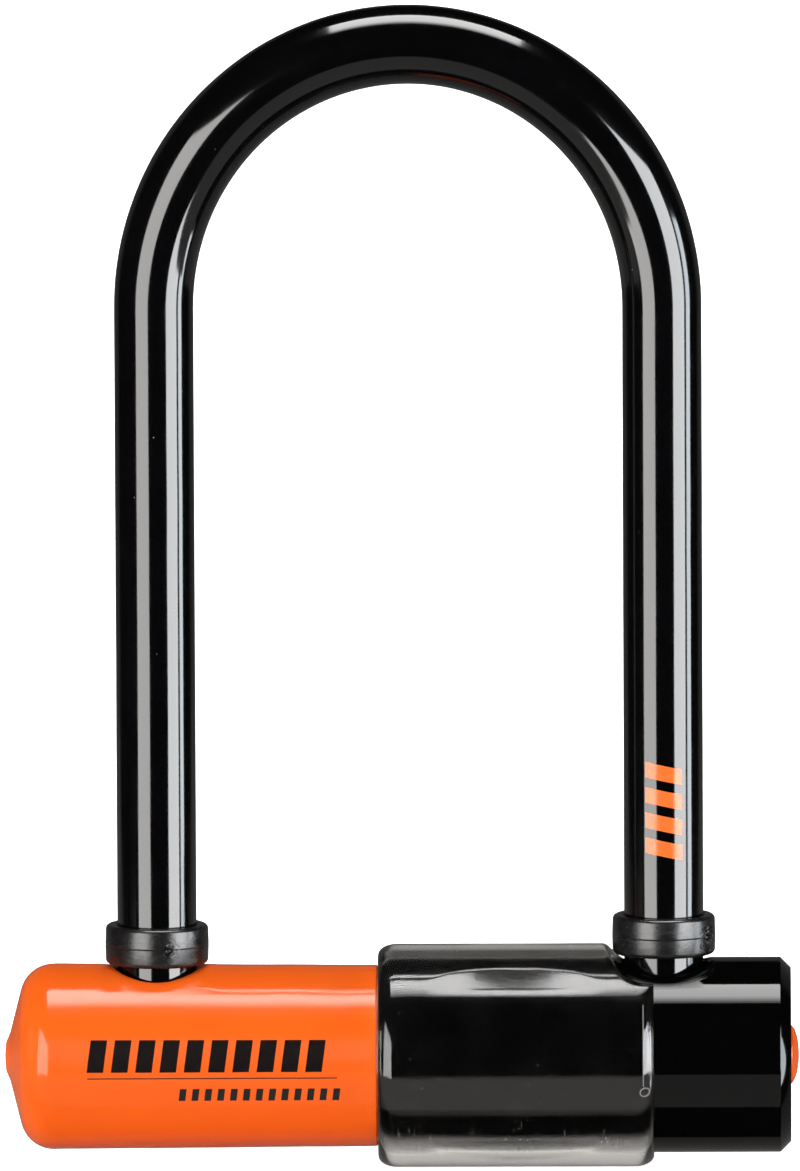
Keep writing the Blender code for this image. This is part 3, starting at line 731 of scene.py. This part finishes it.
def add_gate_mark(obj, base, radius, height, angle):
    """A pit in ragged rings, where the moulding gate broke off."""
    out = Vector((cos(angle), sin(angle), 0.0))
    side = Vector((-sin(angle), cos(angle), 0.0))
    centre = base + UP * height

    def ragged(reach, turn, rag):
        """A place on the collar at a wandering distance from the pit."""
        sway = 1.0 + rag * noise.noise(Vector((2.5 * cos(turn), 2.5 * sin(turn), reach / MM)))
        across = reach * sway * cos(turn)
        swing = angle + across / radius
        way = Vector((cos(swing), sin(swing), 0.0))
        return way, centre + way * radius + UP * (reach * sway * sin(turn))

    pit = Hull()
    loops = []
    for lift, share in ((0.5, 1.0), (0.0, 1.0), (-0.35, 0.8), (-0.75, 0.45)):
        loops.append(pit.loop([centre + out * (radius + lift * MM) + (side * cos(t) + UP * sin(t))
                               * (0.78 * MM * share * (1.0 + 0.22 * sin(3.0 * t + 0.6)))
                               for t in circle(20)]))
    pit.stack(loops)
    pit.cap(loops[0], centre + out * (radius + 0.5 * MM))
    pit.cap(loops[-1], centre + out * (radius - 0.85 * MM))
    carve(obj, add_mesh("gate_pit", pit))
    rings = []
    tears = ((1.02, 0.20, 0.30, 0.04), (1.45, 0.12, 0.45, 0.03), (1.95, 0.10, 0.5, 0.03))
    for reach, thick, rag, sink in tears:
        placed = [ragged(reach * MM, t, rag) for t in circle(36)]
        points = [point - way * sink * MM for way, point in placed]
        widths = [thick * MM * (0.75 + 0.5 * noise.noise(point / (0.5 * MM))) for point in points]
        rings.append(bead("gate_ring", points, [way for way, _ in placed], widths, 6, closed=True))
    join(obj, *rings)


# ---- crossbar

def hole_rows(rows, x0, reach):
    """Index pair of the rows just outside a hole."""
    places = [(row(0.0)[0], i) for i, row in enumerate(rows)]
    below = max(place for place in places if place[0] <= x0 - reach)[1]
    above = min(place for place in places if place[0] >= x0 + reach)[1]
    return min(below, above), max(below, above)


def hole_columns(angles, angle0, reach):
    """Index pair of the columns just outside a hole; either may pass the end."""
    count = len(angles)
    swing = [remainder(a - angle0, 2.0 * pi) for a in angles]
    nearest = min(range(count), key=lambda j: abs(swing[j]))
    ends = []
    for way in (-1, 1):
        j = nearest
        while swing[j % count] * way < reach:
            j += way
        ends.append(j)
    return tuple(ends)


def plain_row(x, radius):
    return lambda angle: (x, radius)


def sleeve(name, outer_rows, inner_rows, end_loops, holes, count, tip=None, inner_tip=None, soft=0.25 * MM):
    """A sleeve from two sheets, bridged by end loops and through its holes."""
    angles = circle(count)
    hull = Hull()
    sheets = []
    for rows, extra in ((outer_rows, soft), (inner_rows, 0.0)):
        placed = []
        for x0, angle0, hole_r in holes:
            reach = hole_r + 1.6 * MM
            radius = rows[0](0.0)[1]
            span = asin(min(0.98, reach / radius))
            placed.append((hole_rows(rows, x0, reach), hole_columns(angles, angle0, span),
                           x0, angle0, hole_r + extra))
        sheets.append(Sheet(hull, rows, angles, placed))
    outer, inner = sheets
    ends = [outer.first]
    ends += [hull.loop([on_bar(x, a, r) for a in angles]) for x, r in end_loops]
    ends.append(inner.first)
    hull.stack(ends)
    if tip is None:
        hull.bridge(outer.last, inner.last)
    else:
        hull.cap(outer.last, tip)
        hull.cap(inner.last, inner_tip)
    for (x0, angle0, hole_r), a, b in zip(holes, outer.rims, inner.rims):
        line_hole(hull, a, b, x0, angle0, hole_r, soft)
    return add_mesh(name, hull)


def matched(values, extra):
    """Distinct values from high to low, with extra ones put in."""
    return sorted({round(v, 7) for v in (*values, *extra)}, reverse=True)


ORANGE_CORNER_X = ORANGE_LOW.x + 3.7 * MM
ORANGE_WALL_X = ORANGE_CORNER_X + 4.8 * MM


def orange_radius(x, angle):
    """The dipped sleeve's radius on its long wall: a slight taper, slightly wavy."""
    share = (x - ORANGE_WALL_X) / (ORANGE_HIGH.x - ORANGE_WALL_X)
    radius = ORANGE_R_LEFT + (ORANGE_R_RIGHT - ORANGE_R_LEFT) * max(0.0, share)
    height = 0.05 * MM
    return radius + wobble(on_bar(x, angle, radius), 7.5 * MM, height) - height / 2.0


def make_orange_sleeve():
    """Dipped vinyl sleeve: soft open end, full corner, shallow cone and a nub."""
    left = ORANGE_LOW.x
    right = ORANGE_HIGH.x
    lip = 0.25 * MM
    reach = ORANGE_HOLE_R + 1.6 * MM
    xs = matched(spread(right - lip, ORANGE_WALL_X, 44), (LEFT_X - reach, LEFT_X + reach))
    rows = [lambda angle, x=x: (x, orange_radius(x, angle)) for x in xs]
    end_line = rounded([
        (ORANGE_CORNER_X + 10.5 * MM, ORANGE_R_LEFT - 0.02 * MM, 0.0),
        (ORANGE_CORNER_X, ORANGE_R_LEFT - 0.02 * MM, 5.5 * MM),
        (left + 0.85 * MM, 4.0 * MM, 2.4 * MM),
        (left + 0.14 * MM, 2.3 * MM, 2.2 * MM),
        (left + 0.01 * MM, 0.4 * MM, 0.0),
    ], steps=9)
    rows += [plain_row(x, r) for x, r in end_line[1:]]
    end = left + 6.05 * MM
    inner_xs = matched(spread(right - lip, end, 44), (LEFT_X - reach, LEFT_X + reach))
    inner = [plain_row(x, SLEEVE_BORE_R) for x in inner_xs]
    wall = (ORANGE_R_RIGHT - SLEEVE_BORE_R) / 2.0
    mid_r = (ORANGE_R_RIGHT + SLEEVE_BORE_R) / 2.0
    turns = spread(0, pi, 6)[1:-1]
    ends = [(right - lip + lip * sin(t), mid_r + wall * cos(t)) for t in turns]
    obj = sleeve("orange_skin", rows, inner, ends, [(LEFT_X, RIGHT_ANGLE, ORANGE_HOLE_R)], 144,
                 (left, 0.0, AXIS_Z), (end - 0.02 * MM, 0.0, AXIS_Z), 0.35 * MM)
    return dress(obj, "crossbar", "orange_vinyl", ["orange_sleeve"], 50.0)


def row_of_bars(start, end, count, share, low, high, lean):
    """Even bars between two ends; share is the inked part of each pitch."""
    pitch = (end - start) / (count - 1 + share)
    return [((start + pitch * i, low), (pitch * share, 0.0), (lean, high - low)) for i in range(count)]


def make_crossbar_print():
    """Plain printed bars on the orange sleeve, in place of lettering."""
    fields = row_of_bars(-51.4 * MM, -13.0 * MM, 10, 0.68, -2.6 * MM, 2.6 * MM, 0.7 * MM)
    fields += row_of_bars(-36.4 * MM, -10.2 * MM, 13, 0.52, -7.2 * MM, -5.3 * MM, 0.25 * MM)
    for k in range(12):
        step = 3.4 * MM
        fields.append(((-51.3 * MM + step * k, -3.68 * MM), (step, 0.0), (0.0, 0.16 * MM)))

    def place(u, v, height):
        angle = pi - (asin(v / ORANGE_R_RIGHT) + VIEW_TILT)
        return on_bar(u, angle, orange_radius(u, angle) + height)

    obj = bars("crossbar_print", fields, place, 0.025 * MM)
    return dress(obj, "crossbar", "black_vinyl", finish=BLACK_INK)


def make_leg_print():
    """Four slanted orange stripes printed on the right leg, in place of lettering."""
    half = 3.0 * MM
    fall = 1.3 * MM
    low = AXIS_Z + 34.2 * MM
    pitch = 4.15 * MM
    fields = [((-half, low + pitch * k), (2.0 * half, -fall), (0.0, 2.55 * MM)) for k in range(4)]

    def place(u, v, height):
        angle = asin(u / COAT_R) + VIEW_AZIMUTH
        radius = COAT_R + height
        return (RIGHT_X + radius * sin(angle), -radius * cos(angle), v)

    obj = bars("leg_print", fields, place, 0.03 * MM)
    return dress(obj, "shackle", "orange_vinyl", finish=ORANGE_INK)


def make_dust_cover():
    """The sliding cover: a curved plate with round corners, ribs and a thumb dimple."""
    half_long = (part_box("dust_cover")[1].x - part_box("dust_cover")[0].x) / 2.0
    inner_r, outer_r = COVER_R
    half_wide = radians(22.0) * outer_r
    corner = 2.0 * MM
    roll = 0.30 * MM

    def place(s, t, outside):
        u = -cos(pi * s) * half_long
        past = max(0.0, abs(u) - (half_long - corner))
        reach = half_wide - corner + sqrt(corner * corner - past * past)
        w = -cos(pi * t) * reach
        if not outside:
            return on_bar(CORE_X + u, w / outer_r, inner_r)
        edge = min(half_long - abs(u), reach - abs(w))
        near = max(0.0, 1.0 - edge / (2.0 * roll))
        dent = max(0.0, 1.0 - (u * u + w * w) / (2.4 * MM) ** 2)
        height = -roll * near * near - 0.55 * MM * dent * dent * (3.0 - 2.0 * dent)
        for line in (3.6 * MM, 4.4 * MM, 5.2 * MM):
            gap = abs(abs(w) - line)
            if gap < 0.25 * MM and abs(u) < 4.0 * MM:
                height -= 0.09 * MM * (1.0 - gap / (0.25 * MM))
        return on_bar(CORE_X + u, w / outer_r, outer_r + height)

    hull = Hull()
    slab(hull, (64, 72), place, (True, False))
    return dress(add_mesh("cover_plate", hull), "cover", "black_plastic", ["dust_cover"], 40.0)


def make_armour_skin():
    """The thick black sleeve: chamfer, end wall round the button, leg and back holes."""
    left = ARMOUR_LOW.x
    right = ARMOUR_END_X
    lead = 0.4 * MM
    crisp = 0.12 * MM
    wall_x = right - 2.5 * MM
    opening = BUTTON_R + 0.25 * MM
    outline = rounded([
        (ARMOUR_R, right - ARMOUR_CHAMFER - 1.0 * MM, 0.0),
        (ARMOUR_R, right - ARMOUR_CHAMFER, crisp * 2.0),
        (ARMOUR_R - ARMOUR_CHAMFER, right, crisp * 2.0),
        (opening, right, 0.35 * MM),
        (opening, wall_x, 0.1 * MM),
        (SLEEVE_BORE_R, wall_x, 0.1 * MM),
        (SLEEVE_BORE_R, wall_x - 1.0 * MM, 0.0),
    ], steps=5)
    leg_reach = ARMOUR_HOLE_R + 1.6 * MM
    back_reach = BACK_HOLE_R + 1.6 * MM
    marks = (RIGHT_X - leg_reach, RIGHT_X + leg_reach, CORE_X - back_reach, CORE_X + back_reach)
    xs = matched(spread(outline[0][1], left + lead, 60), marks)
    rows = [plain_row(x, ARMOUR_R) for x in xs]
    rows += [plain_row(left + x, ARMOUR_R - lead + r)
             for x, r in ellipse_arc((lead, 0.0), (lead, lead), 90.0, 180.0, 5)[1:]]
    inner_xs = matched(spread(outline[-1][1], left, 60), marks)
    inner = [plain_row(x, SLEEVE_BORE_R) for x in inner_xs]
    ends = [(x, r) for r, x in outline[1:-1]]
    holes = [(RIGHT_X, RIGHT_ANGLE, ARMOUR_HOLE_R), (CORE_X, 0.0, BACK_HOLE_R)]
    obj = sleeve("armour_skin", rows, inner, ends, holes, 144, soft=0.2 * MM)
    return dress(obj, "crossbar", "black_armour", ["armour_sleeve"], 50.0)


def make_button():
    """The orange button: a low dome out of the end wall, on a flange behind it."""
    low, high = BUTTON_LOW, BUTTON_HIGH
    dome_x = ARMOUR_END_X - 0.25 * MM
    flange_r = 8.0 * MM
    shelf = ARMOUR_END_X - 2.8 * MM
    profile = [(0.0, high.x)]
    profile += [(r, x) for x, r in ellipse_arc((dome_x, 0.0), (high.x - dome_x, BUTTON_R), 8.0, 90.0, 12)]
    profile += [(r, x) for r, x in rounded([
        (BUTTON_R, dome_x - 0.1 * MM, 0.0), (BUTTON_R, shelf, 0.1 * MM), (flange_r, shelf, 0.3 * MM),
        (flange_r, low.x, 0.3 * MM), (2.0 * MM, low.x, 0.0)])]
    profile.append((0.0, low.x))

    def place(r, x, angle):
        return on_bar(x, angle, r)

    obj = turned("button_dome", profile, place, 72)
    return dress(obj, "crossbar", "orange_vinyl", ["end_button"], 45.0)


# ---- clear bumper

def sweep_end(z):
    """Where the bumper's right end lies at a height above the axis."""
    lowest = SWEEP_Z - SWEEP_R
    if z <= lowest:
        return BUMPER_HIGH.x
    swing = (SWEEP_Z - z) / SWEEP_R
    return SWEEP_X - SWEEP_R * sqrt(max(0.0, 1.0 - swing * swing))


def bumper_angles(radius):
    """Columns round the bumper, closer together where the swept corner starts."""
    lowest = SWEEP_Z - SWEEP_R
    start = asin(lowest / radius)
    low = spread(-RIGHT_ANGLE, start - 0.02, 52)
    fine = []
    for k in range(1, 17):
        drop = 0.42 * MM * k
        z = min(lowest + drop * drop / (2.0 * SWEEP_R), radius * 0.998)
        fine.append(asin(z / radius))
    high = spread(fine[-1], RIGHT_ANGLE, 16)[1:]
    right = low + [start - 0.008, start] + fine + high
    left = [pi - a for a in reversed(right[1:-1])]
    return right + left


FACET_HALF = 14.2 * MM
FACET_EDGE = radians(44.2)
FACET_TOP = radians(60.4)
FACET_LEAN = 0.028
END_ROUND = (3.1 * MM, 1.8 * MM)
BUMPER_STRAIGHT = 8.6 * MM


def end_round(z):
    """Share of the right end's rounding at a height: tighter in the swept corner."""
    clear = (SWEEP_Z - SWEEP_R + 1.0 * MM - z) / (4.0 * MM)
    return 0.25 + 0.75 * max(0.0, min(1.0, clear))


def facet_radius(x, angle):
    """The bumper's outer radius, with shallow lens-shaped flats above and below."""
    along = (x - CORE_X) / FACET_HALF
    if abs(along) >= 1.0:
        return BUMPER_R
    tall = (FACET_TOP - FACET_EDGE) * sqrt(1.0 - along * along)
    swing = abs(asin(max(-1.0, min(1.0, sin(angle)))))
    centre = FACET_EDGE + tall / 2.0
    if tall < 1e-4 or abs(swing - centre) >= tall / 2.0:
        return BUMPER_R
    chord = BUMPER_R * cos(tall / 2.0) / cos(swing - centre)
    return chord * (1.0 + FACET_LEAN * (swing - FACET_EDGE - tall))


def bumper_rows(radius_at, left, soft, round_at):
    """Rows from the swept right end to the left end, straight past the cylinder."""
    straight = CORE_X + BUMPER_STRAIGHT
    edge = CORE_X - BUMPER_STRAIGHT
    base_r = radius_at(BUMPER_HIGH.x, 0.0)
    rows = []
    for share in spread(1.0, 0.0, 22)[:-1]:
        def row(angle, share=share):
            z = base_r * sin(angle)
            end = sweep_end(z) - soft * round_at(z)
            x = straight + (end - straight) * share
            return x, radius_at(x, angle)
        rows.append(row)
    for x in spread(straight, edge, 34) + spread(edge, left + soft, 18)[1:]:
        rows.append(lambda angle, x=x: (x, radius_at(x, angle)))
    return rows


def make_bumper():
    """Thick clear sleeve: rounded ends, swept corner, lens flats and a back window."""
    hull = Hull()
    soft_x, soft_r = END_ROUND
    left = BUMPER_LOW.x
    wall = BUMPER_R - BUMPER_BORE_R
    reach = WINDOW_R + 1.2 * MM
    outer_angles = bumper_angles(BUMPER_R)
    inner_angles = bumper_angles(BUMPER_BORE_R)

    def sheet(rows, angles, radius, extra):
        columns = hole_columns(angles, 0.0, asin(reach / radius))
        hole = (hole_rows(rows, CORE_X, reach), columns, CORE_X, 0.0, WINDOW_R + extra)
        return Sheet(hull, rows, angles, [hole])

    outer_rows = bumper_rows(facet_radius, left, soft_x, end_round)
    inner_rows = bumper_rows(lambda x, angle: BUMPER_BORE_R, left, 0.2 * MM, lambda z: 1.0)
    outer = sheet(outer_rows, outer_angles, BUMPER_R, 0.4 * MM)
    inner = sheet(inner_rows, inner_angles, BUMPER_BORE_R, 0.0)

    def right_rim(inward, lean, flush=0.0):
        """A loop round the right end; inward is how far it lies in from the outer wall."""
        points = []
        for a, b in zip(outer_angles, inner_angles):
            top = BUMPER_R * sin(a)
            share = inward if flush else inward * end_round(top)
            end = sweep_end(top) * (1 - share) + sweep_end(BUMPER_BORE_R * sin(b)) * share
            x = end - lean * soft_x * end_round(top) - flush
            points.append(on_bar(x, a + (b - a) * share, BUMPER_R - wall * share))
        return hull.loop(points)

    def left_rim(share, lean):
        x = left + soft_x * lean
        return hull.loop([on_bar(x, a + (b - a) * share, BUMPER_R - wall * share)
                          for a, b in zip(outer_angles, inner_angles)])

    leans = [radians(t) for t in (12.0, 24.0, 36.0, 48.0, 60.0, 75.0, 90.0)]
    steps = [(soft_r * (1.0 - cos(lean)) / wall, 1.0 - sin(lean)) for lean in leans]
    hull.stack([outer.first] + [right_rim(*step) for step in steps]
               + [right_rim(0.95, 0.0, 0.03 * MM), inner.first])
    hull.stack([outer.last] + [left_rim(*step) for step in steps] + [inner.last])
    line_hole(hull, outer.rims[0], inner.rims[0], CORE_X, 0.0, WINDOW_R, 0.4 * MM, ())
    obj = add_mesh("bumper_sleeve", hull)
    carve(obj, pocket_cutter())
    return dress(obj, "crossbar", "clear_vinyl", ["clear_bumper"], 60.0)


def pocket_cutter():
    """The room inside the bumper's back in which the dust cover slides."""
    half = 8.8 * MM

    def place(s, t, radius):
        angle = radians(-66.0 + 90.0 * t)
        return on_bar(CORE_X + half * (2.0 * s - 1.0), angle, radius)

    hull = Hull()
    slab(hull, (6, 48), place, (POCKET_R, BUMPER_BORE_R - 0.15 * MM))
    return add_mesh("pocket", hull)


def make_bumper_highlight_line_and_loop():
    """A painted highlight: a pale line in the bumper's right end in place of the bright line its clear rim
    shows, and the moulding flash loop it ends in.
    """
    x = BUMPER_HIGH.x - 1.5 * MM
    thick = 0.08 * MM

    def strand(name, places, radius, closed=False):
        """A bead under the bumper's face, from (x, height as the front shows it)."""
        points = []
        outs = []
        for along, rise in places:
            angle = pi - (asin(rise / BUMPER_R) + VIEW_TILT)
            points.append(Vector(on_bar(along, angle, BUMPER_R - 1.4 * thick)))
            outs.append(Vector((0.0, cos(angle), sin(angle))))
        return bead(name, points, outs, radius, closed=closed)

    ring = []
    for turn in circle(28):
        size = 0.72 * MM * (1.0 + 0.12 * sin(2.0 * turn + 0.5))
        ring.append((x + size * cos(turn), -6.1 * MM + size * sin(turn)))
    # The line is a painted highlight standing in for the bright line the clear rim shows; the loop is a
    # real flash mark.
    line = [(x - 0.25 * MM, rise) for rise in spread(8.2 * MM, -5.2 * MM, 40)]
    obj = strand("bumper_highlight_line_and_loop", line, thick * 0.7)
    join(obj, strand("loop", ring, thick, True))
    return dress(obj, "crossbar", "clear_vinyl", finish=PALE_HIGHLIGHT_AND_FLASH_VINYL)


# ---- camera, light and stage

VIEW_DISTANCE = 4.5
VIEW_HEIGHT = 191.5 * MM
VIEW_ROLL = radians(0.25)
SENSOR = 36.0
FILL_DISTANCE = 2.4
FILL_SIZE = 1.4


def direction(azimuth, elevation):
    """Unit vector; azimuth runs from the front (-Y) towards +X."""
    flat = cos(elevation)
    return Vector((sin(azimuth) * flat, -cos(azimuth) * flat, sin(elevation)))


def put_at(obj, place, rotation):
    obj.location = place
    obj.rotation_mode = 'QUATERNION'
    obj.rotation_quaternion = rotation


def make_camera():
    data = bpy.data.cameras.new("camera")
    camera = add_object("camera", data)
    back = direction(VIEW_AZIMUTH, VIEW_ELEVATION)
    aim = Vector((0.0, 0.0, 95.9 * MM))
    roll = Matrix.Rotation(-VIEW_ROLL, 3, 'Z').to_quaternion()
    put_at(camera, aim + back * VIEW_DISTANCE, (-back).to_track_quat('-Z', 'Y') @ roll)
    data.sensor_width = SENSOR
    data.lens = SENSOR * VIEW_DISTANCE / VIEW_HEIGHT
    data.clip_start = 0.05
    data.clip_end = 60.0
    bpy.context.scene.camera = camera


def area_light(name, shape, sizes, energy, tint=(1.0, 1.0, 1.0)):
    """A flat light that the camera can't see."""
    data = bpy.data.lights.new(name, 'AREA')
    data.shape = shape
    data.size, data.size_y = sizes
    data.energy = energy
    data.color = tint
    light = add_object(name, data)
    light.visible_camera = False
    return light


def glowing(name, sizes, radiance, tint):
    """An even light that shows in gloss and lights nothing matt."""
    light = area_light(name, 'RECTANGLE', sizes, 4.0 * sizes[0] * sizes[1] * radiance, tint)
    light.visible_diffuse = False
    return light


def softbox(name, start, end, heights, radiance, tint):
    """An upright softbox between two places on the plan; it faces the lock."""
    (x0, y0), (x1, y1), (low, high) = start, end, heights
    light = glowing(name, (hypot(x1 - x0, y1 - y0), high - low), radiance, tint)
    centre = Vector(((x0 + x1) / 2.0, (y0 + y1) / 2.0, (low + high) / 2.0))
    facing = Vector((y0 - y1, x1 - x0, 0.0))
    if facing.dot(-centre) < 0.0:
        facing = -facing
    put_at(light, centre, facing.to_track_quat('-Z', 'Y'))


def plan(azimuth, distance):
    """A place on the floor plan, seen from the lock."""
    angle = radians(azimuth)
    return (distance * sin(angle), -distance * cos(angle))


def overhead(name, x_range, y_range, height, radiance, tint):
    """A softbox above the lock that points down."""
    light = glowing(name, (x_range[1] - x_range[0], y_range[1] - y_range[0]), radiance, tint)
    light.location = (sum(x_range) / 2.0, sum(y_range) / 2.0, AXIS_Z + height)
    light.visible_transmission = False


def fill(name, azimuth, elevation, level):
    """A broad soft light that brightens surfaces without showing in their gloss."""
    light = area_light(name, 'DISK', (FILL_SIZE, FILL_SIZE), 4.0 * pi * FILL_DISTANCE ** 2 * level)
    way = direction(radians(azimuth), radians(elevation))
    put_at(light, Vector((0.0, 0.0, 0.08)) + way * FILL_DISTANCE, way.to_track_quat('Z', 'Y'))
    light.visible_glossy = False
    light.visible_transmission = False


def make_lights():
    low = -0.34
    softbox("left_softbox", plan(-54.8, 0.66), plan(-18.4, 1.18), (low, 0.47), 7.5, (1.0, 0.985, 0.965))
    softbox("right_softbox", plan(35.0, 1.05), plan(69.5, 1.05), (low, 0.56), 12.0, (0.96, 0.98, 1.0))
    softbox("right_strip", plan(75.5, 1.05), plan(88.9, 1.05), (low, 0.36), 11.0, (0.86, 0.94, 1.0))
    edges = (-0.51, -0.43, -0.35, -0.27, 0.24)
    for i, level in enumerate((2.5, 5.5, 8.5, 11.0)):
        name = f"overhead_softbox_{i + 1}"
        overhead(name, (-0.46, 0.70), edges[i:i + 2], 1.5, level, (1.0, 0.99, 0.98))
    for name, azimuth, elevation, level in (("front", -8.0, 14.0, 0.51), ("left", -82.0, 8.0, 0.5),
                                            ("right", 82.0, 8.0, 0.5), ("low", -20.0, -40.0, 0.22),
                                            ("top", 0.0, 75.0, 0.42), ("back", 170.0, 30.0, 0.5)):
        fill(name + "_fill", azimuth, elevation, level)


def sheet_of(name, xs, ys, z):
    """A flat level sheet on a grid."""
    hull = Hull()
    hull.grid([[(x, y, z) for y in ys] for x in xs])
    return add_mesh(name, hull)


def card(name, x_half, y_range, z, glow, through):
    """A dim bounce card that only shows in reflections."""
    obj = sheet_of(name, (-x_half, x_half), y_range, z)
    material = bpy.data.materials.new(name)
    material.use_nodes = True
    material.node_tree.nodes.clear()
    n = Nodes(material.node_tree)
    light = n.node("Emission", {"Strength": glow, "Color": rgb(1.0, 0.96, 0.92)})
    n.node("OutputMaterial", {"Surface": light.outputs["Emission"]})
    obj.data.materials.append(material)
    obj.visible_camera = False
    obj.visible_diffuse = False
    obj.visible_shadow = False
    obj.visible_transmission = through


def make_cards():
    drop = -0.136
    card("front_card", 1.2, (-0.555, -0.110), drop, 0.48, True)
    card("rear_card", 1.2, (0.035, 1.2), drop, 0.2, False)


def make_floor():
    """A pale flat floor that the lock stands on."""
    half = 14.0
    floor = sheet_of("floor", spread(-half, half, 8), spread(-half, half, 8), -0.02 * MM)
    f = Finish("pale_floor")
    seen = f.node("LightPath").outputs["Is Camera Ray"]
    f.set(Base_Color=rgb(0.86, 0.86, 0.86), Roughness=0.9, Emission_Color=rgb(1.0, 1.0, 1.0),
          Emission_Strength=f.math('MULTIPLY', seen, 0.9))
    floor.data.materials.append(f.material)
    floor.visible_glossy = False
    floor.visible_transmission = False


def make_world():
    """White to the camera; to reflections dark, with a grey wall low down behind the lock."""
    world = bpy.data.worlds.new("studio")
    bpy.context.scene.world = world
    world.use_nodes = True
    world.node_tree.nodes.clear()
    n = Nodes(world.node_tree)

    def rise(value, low, high):
        return n.remap(value, low, high, kind='SMOOTHSTEP')

    def fall(value, low, high):
        return n.math('SUBTRACT', 1.0, rise(value, low, high))

    way = n.node("TexCoord").outputs["Generated"]
    axes = n.node("SeparateXYZ", {"Vector": way}).outputs
    path = n.node("LightPath").outputs
    wall = n.math('MULTIPLY', rise(axes["Y"], 0.45, 0.65), fall(axes["Z"], 0.40, 0.52))
    gloss = n.math('MULTIPLY_ADD', wall, 0.10, 0.004)
    backdrop = n.math('MULTIPLY', rise(axes["Y"], 0.0, 0.25), fall(axes["Z"], -0.10, 0.66))
    under = n.math('MULTIPLY', rise(n.math('MULTIPLY', axes["Z"], -1.0), 0.72, 0.92), 0.9)
    through = n.math('MULTIPLY_ADD', backdrop, n.math('ADD', 0.60, under), 0.012)
    passed = path["Is Transmission Ray"]
    kept = n.math('SUBTRACT', 1.0, passed)
    level = n.math('ADD', n.math('MULTIPLY', passed, through), n.math('MULTIPLY', kept, gloss))
    room = n.node("Background", {"Color": rgb(1.0, 0.98, 0.95), "Strength": level})
    white = n.node("Background", {"Color": rgb(1.0, 1.0, 1.0), "Strength": 1.0})
    shades = {"Fac": path["Is Camera Ray"], 1: room.outputs["Background"], 2: white.outputs["Background"]}
    pick = n.node("MixShader", shades)
    n.node("OutputWorld", {"Surface": pick.outputs["Shader"]})


# ---- assembly

def dress_cad_nodes():
    """Give every carried-over CAD node the look of its slot in the record."""
    for part in frame["record"]["subparts"]:
        obj = frame["nodes"][part["node"]]
        look = LOOKS[part["material_slot"]]
        for slot in obj.material_slots:
            slot.material = look


def build():
    bpy.context.scene.view_settings.view_transform = 'Standard'
    make_world()
    make_camera()
    make_lights()
    make_cards()
    make_floor()
    dress_cad_nodes()
    make_shackle_skin()
    make_shackle_rod()
    make_collar("left_ring", "left_collar", radians(-76.5))
    make_collar("right_ring", "right_collar", radians(-30.6))
    make_orange_sleeve()
    make_armour_skin()
    make_button()
    make_bumper()
    # Painted highlight line in the bumper's rim, with its real moulding flash loop
    make_bumper_highlight_line_and_loop()
    make_dust_cover()
    make_crossbar_print()
    make_leg_print()


build()
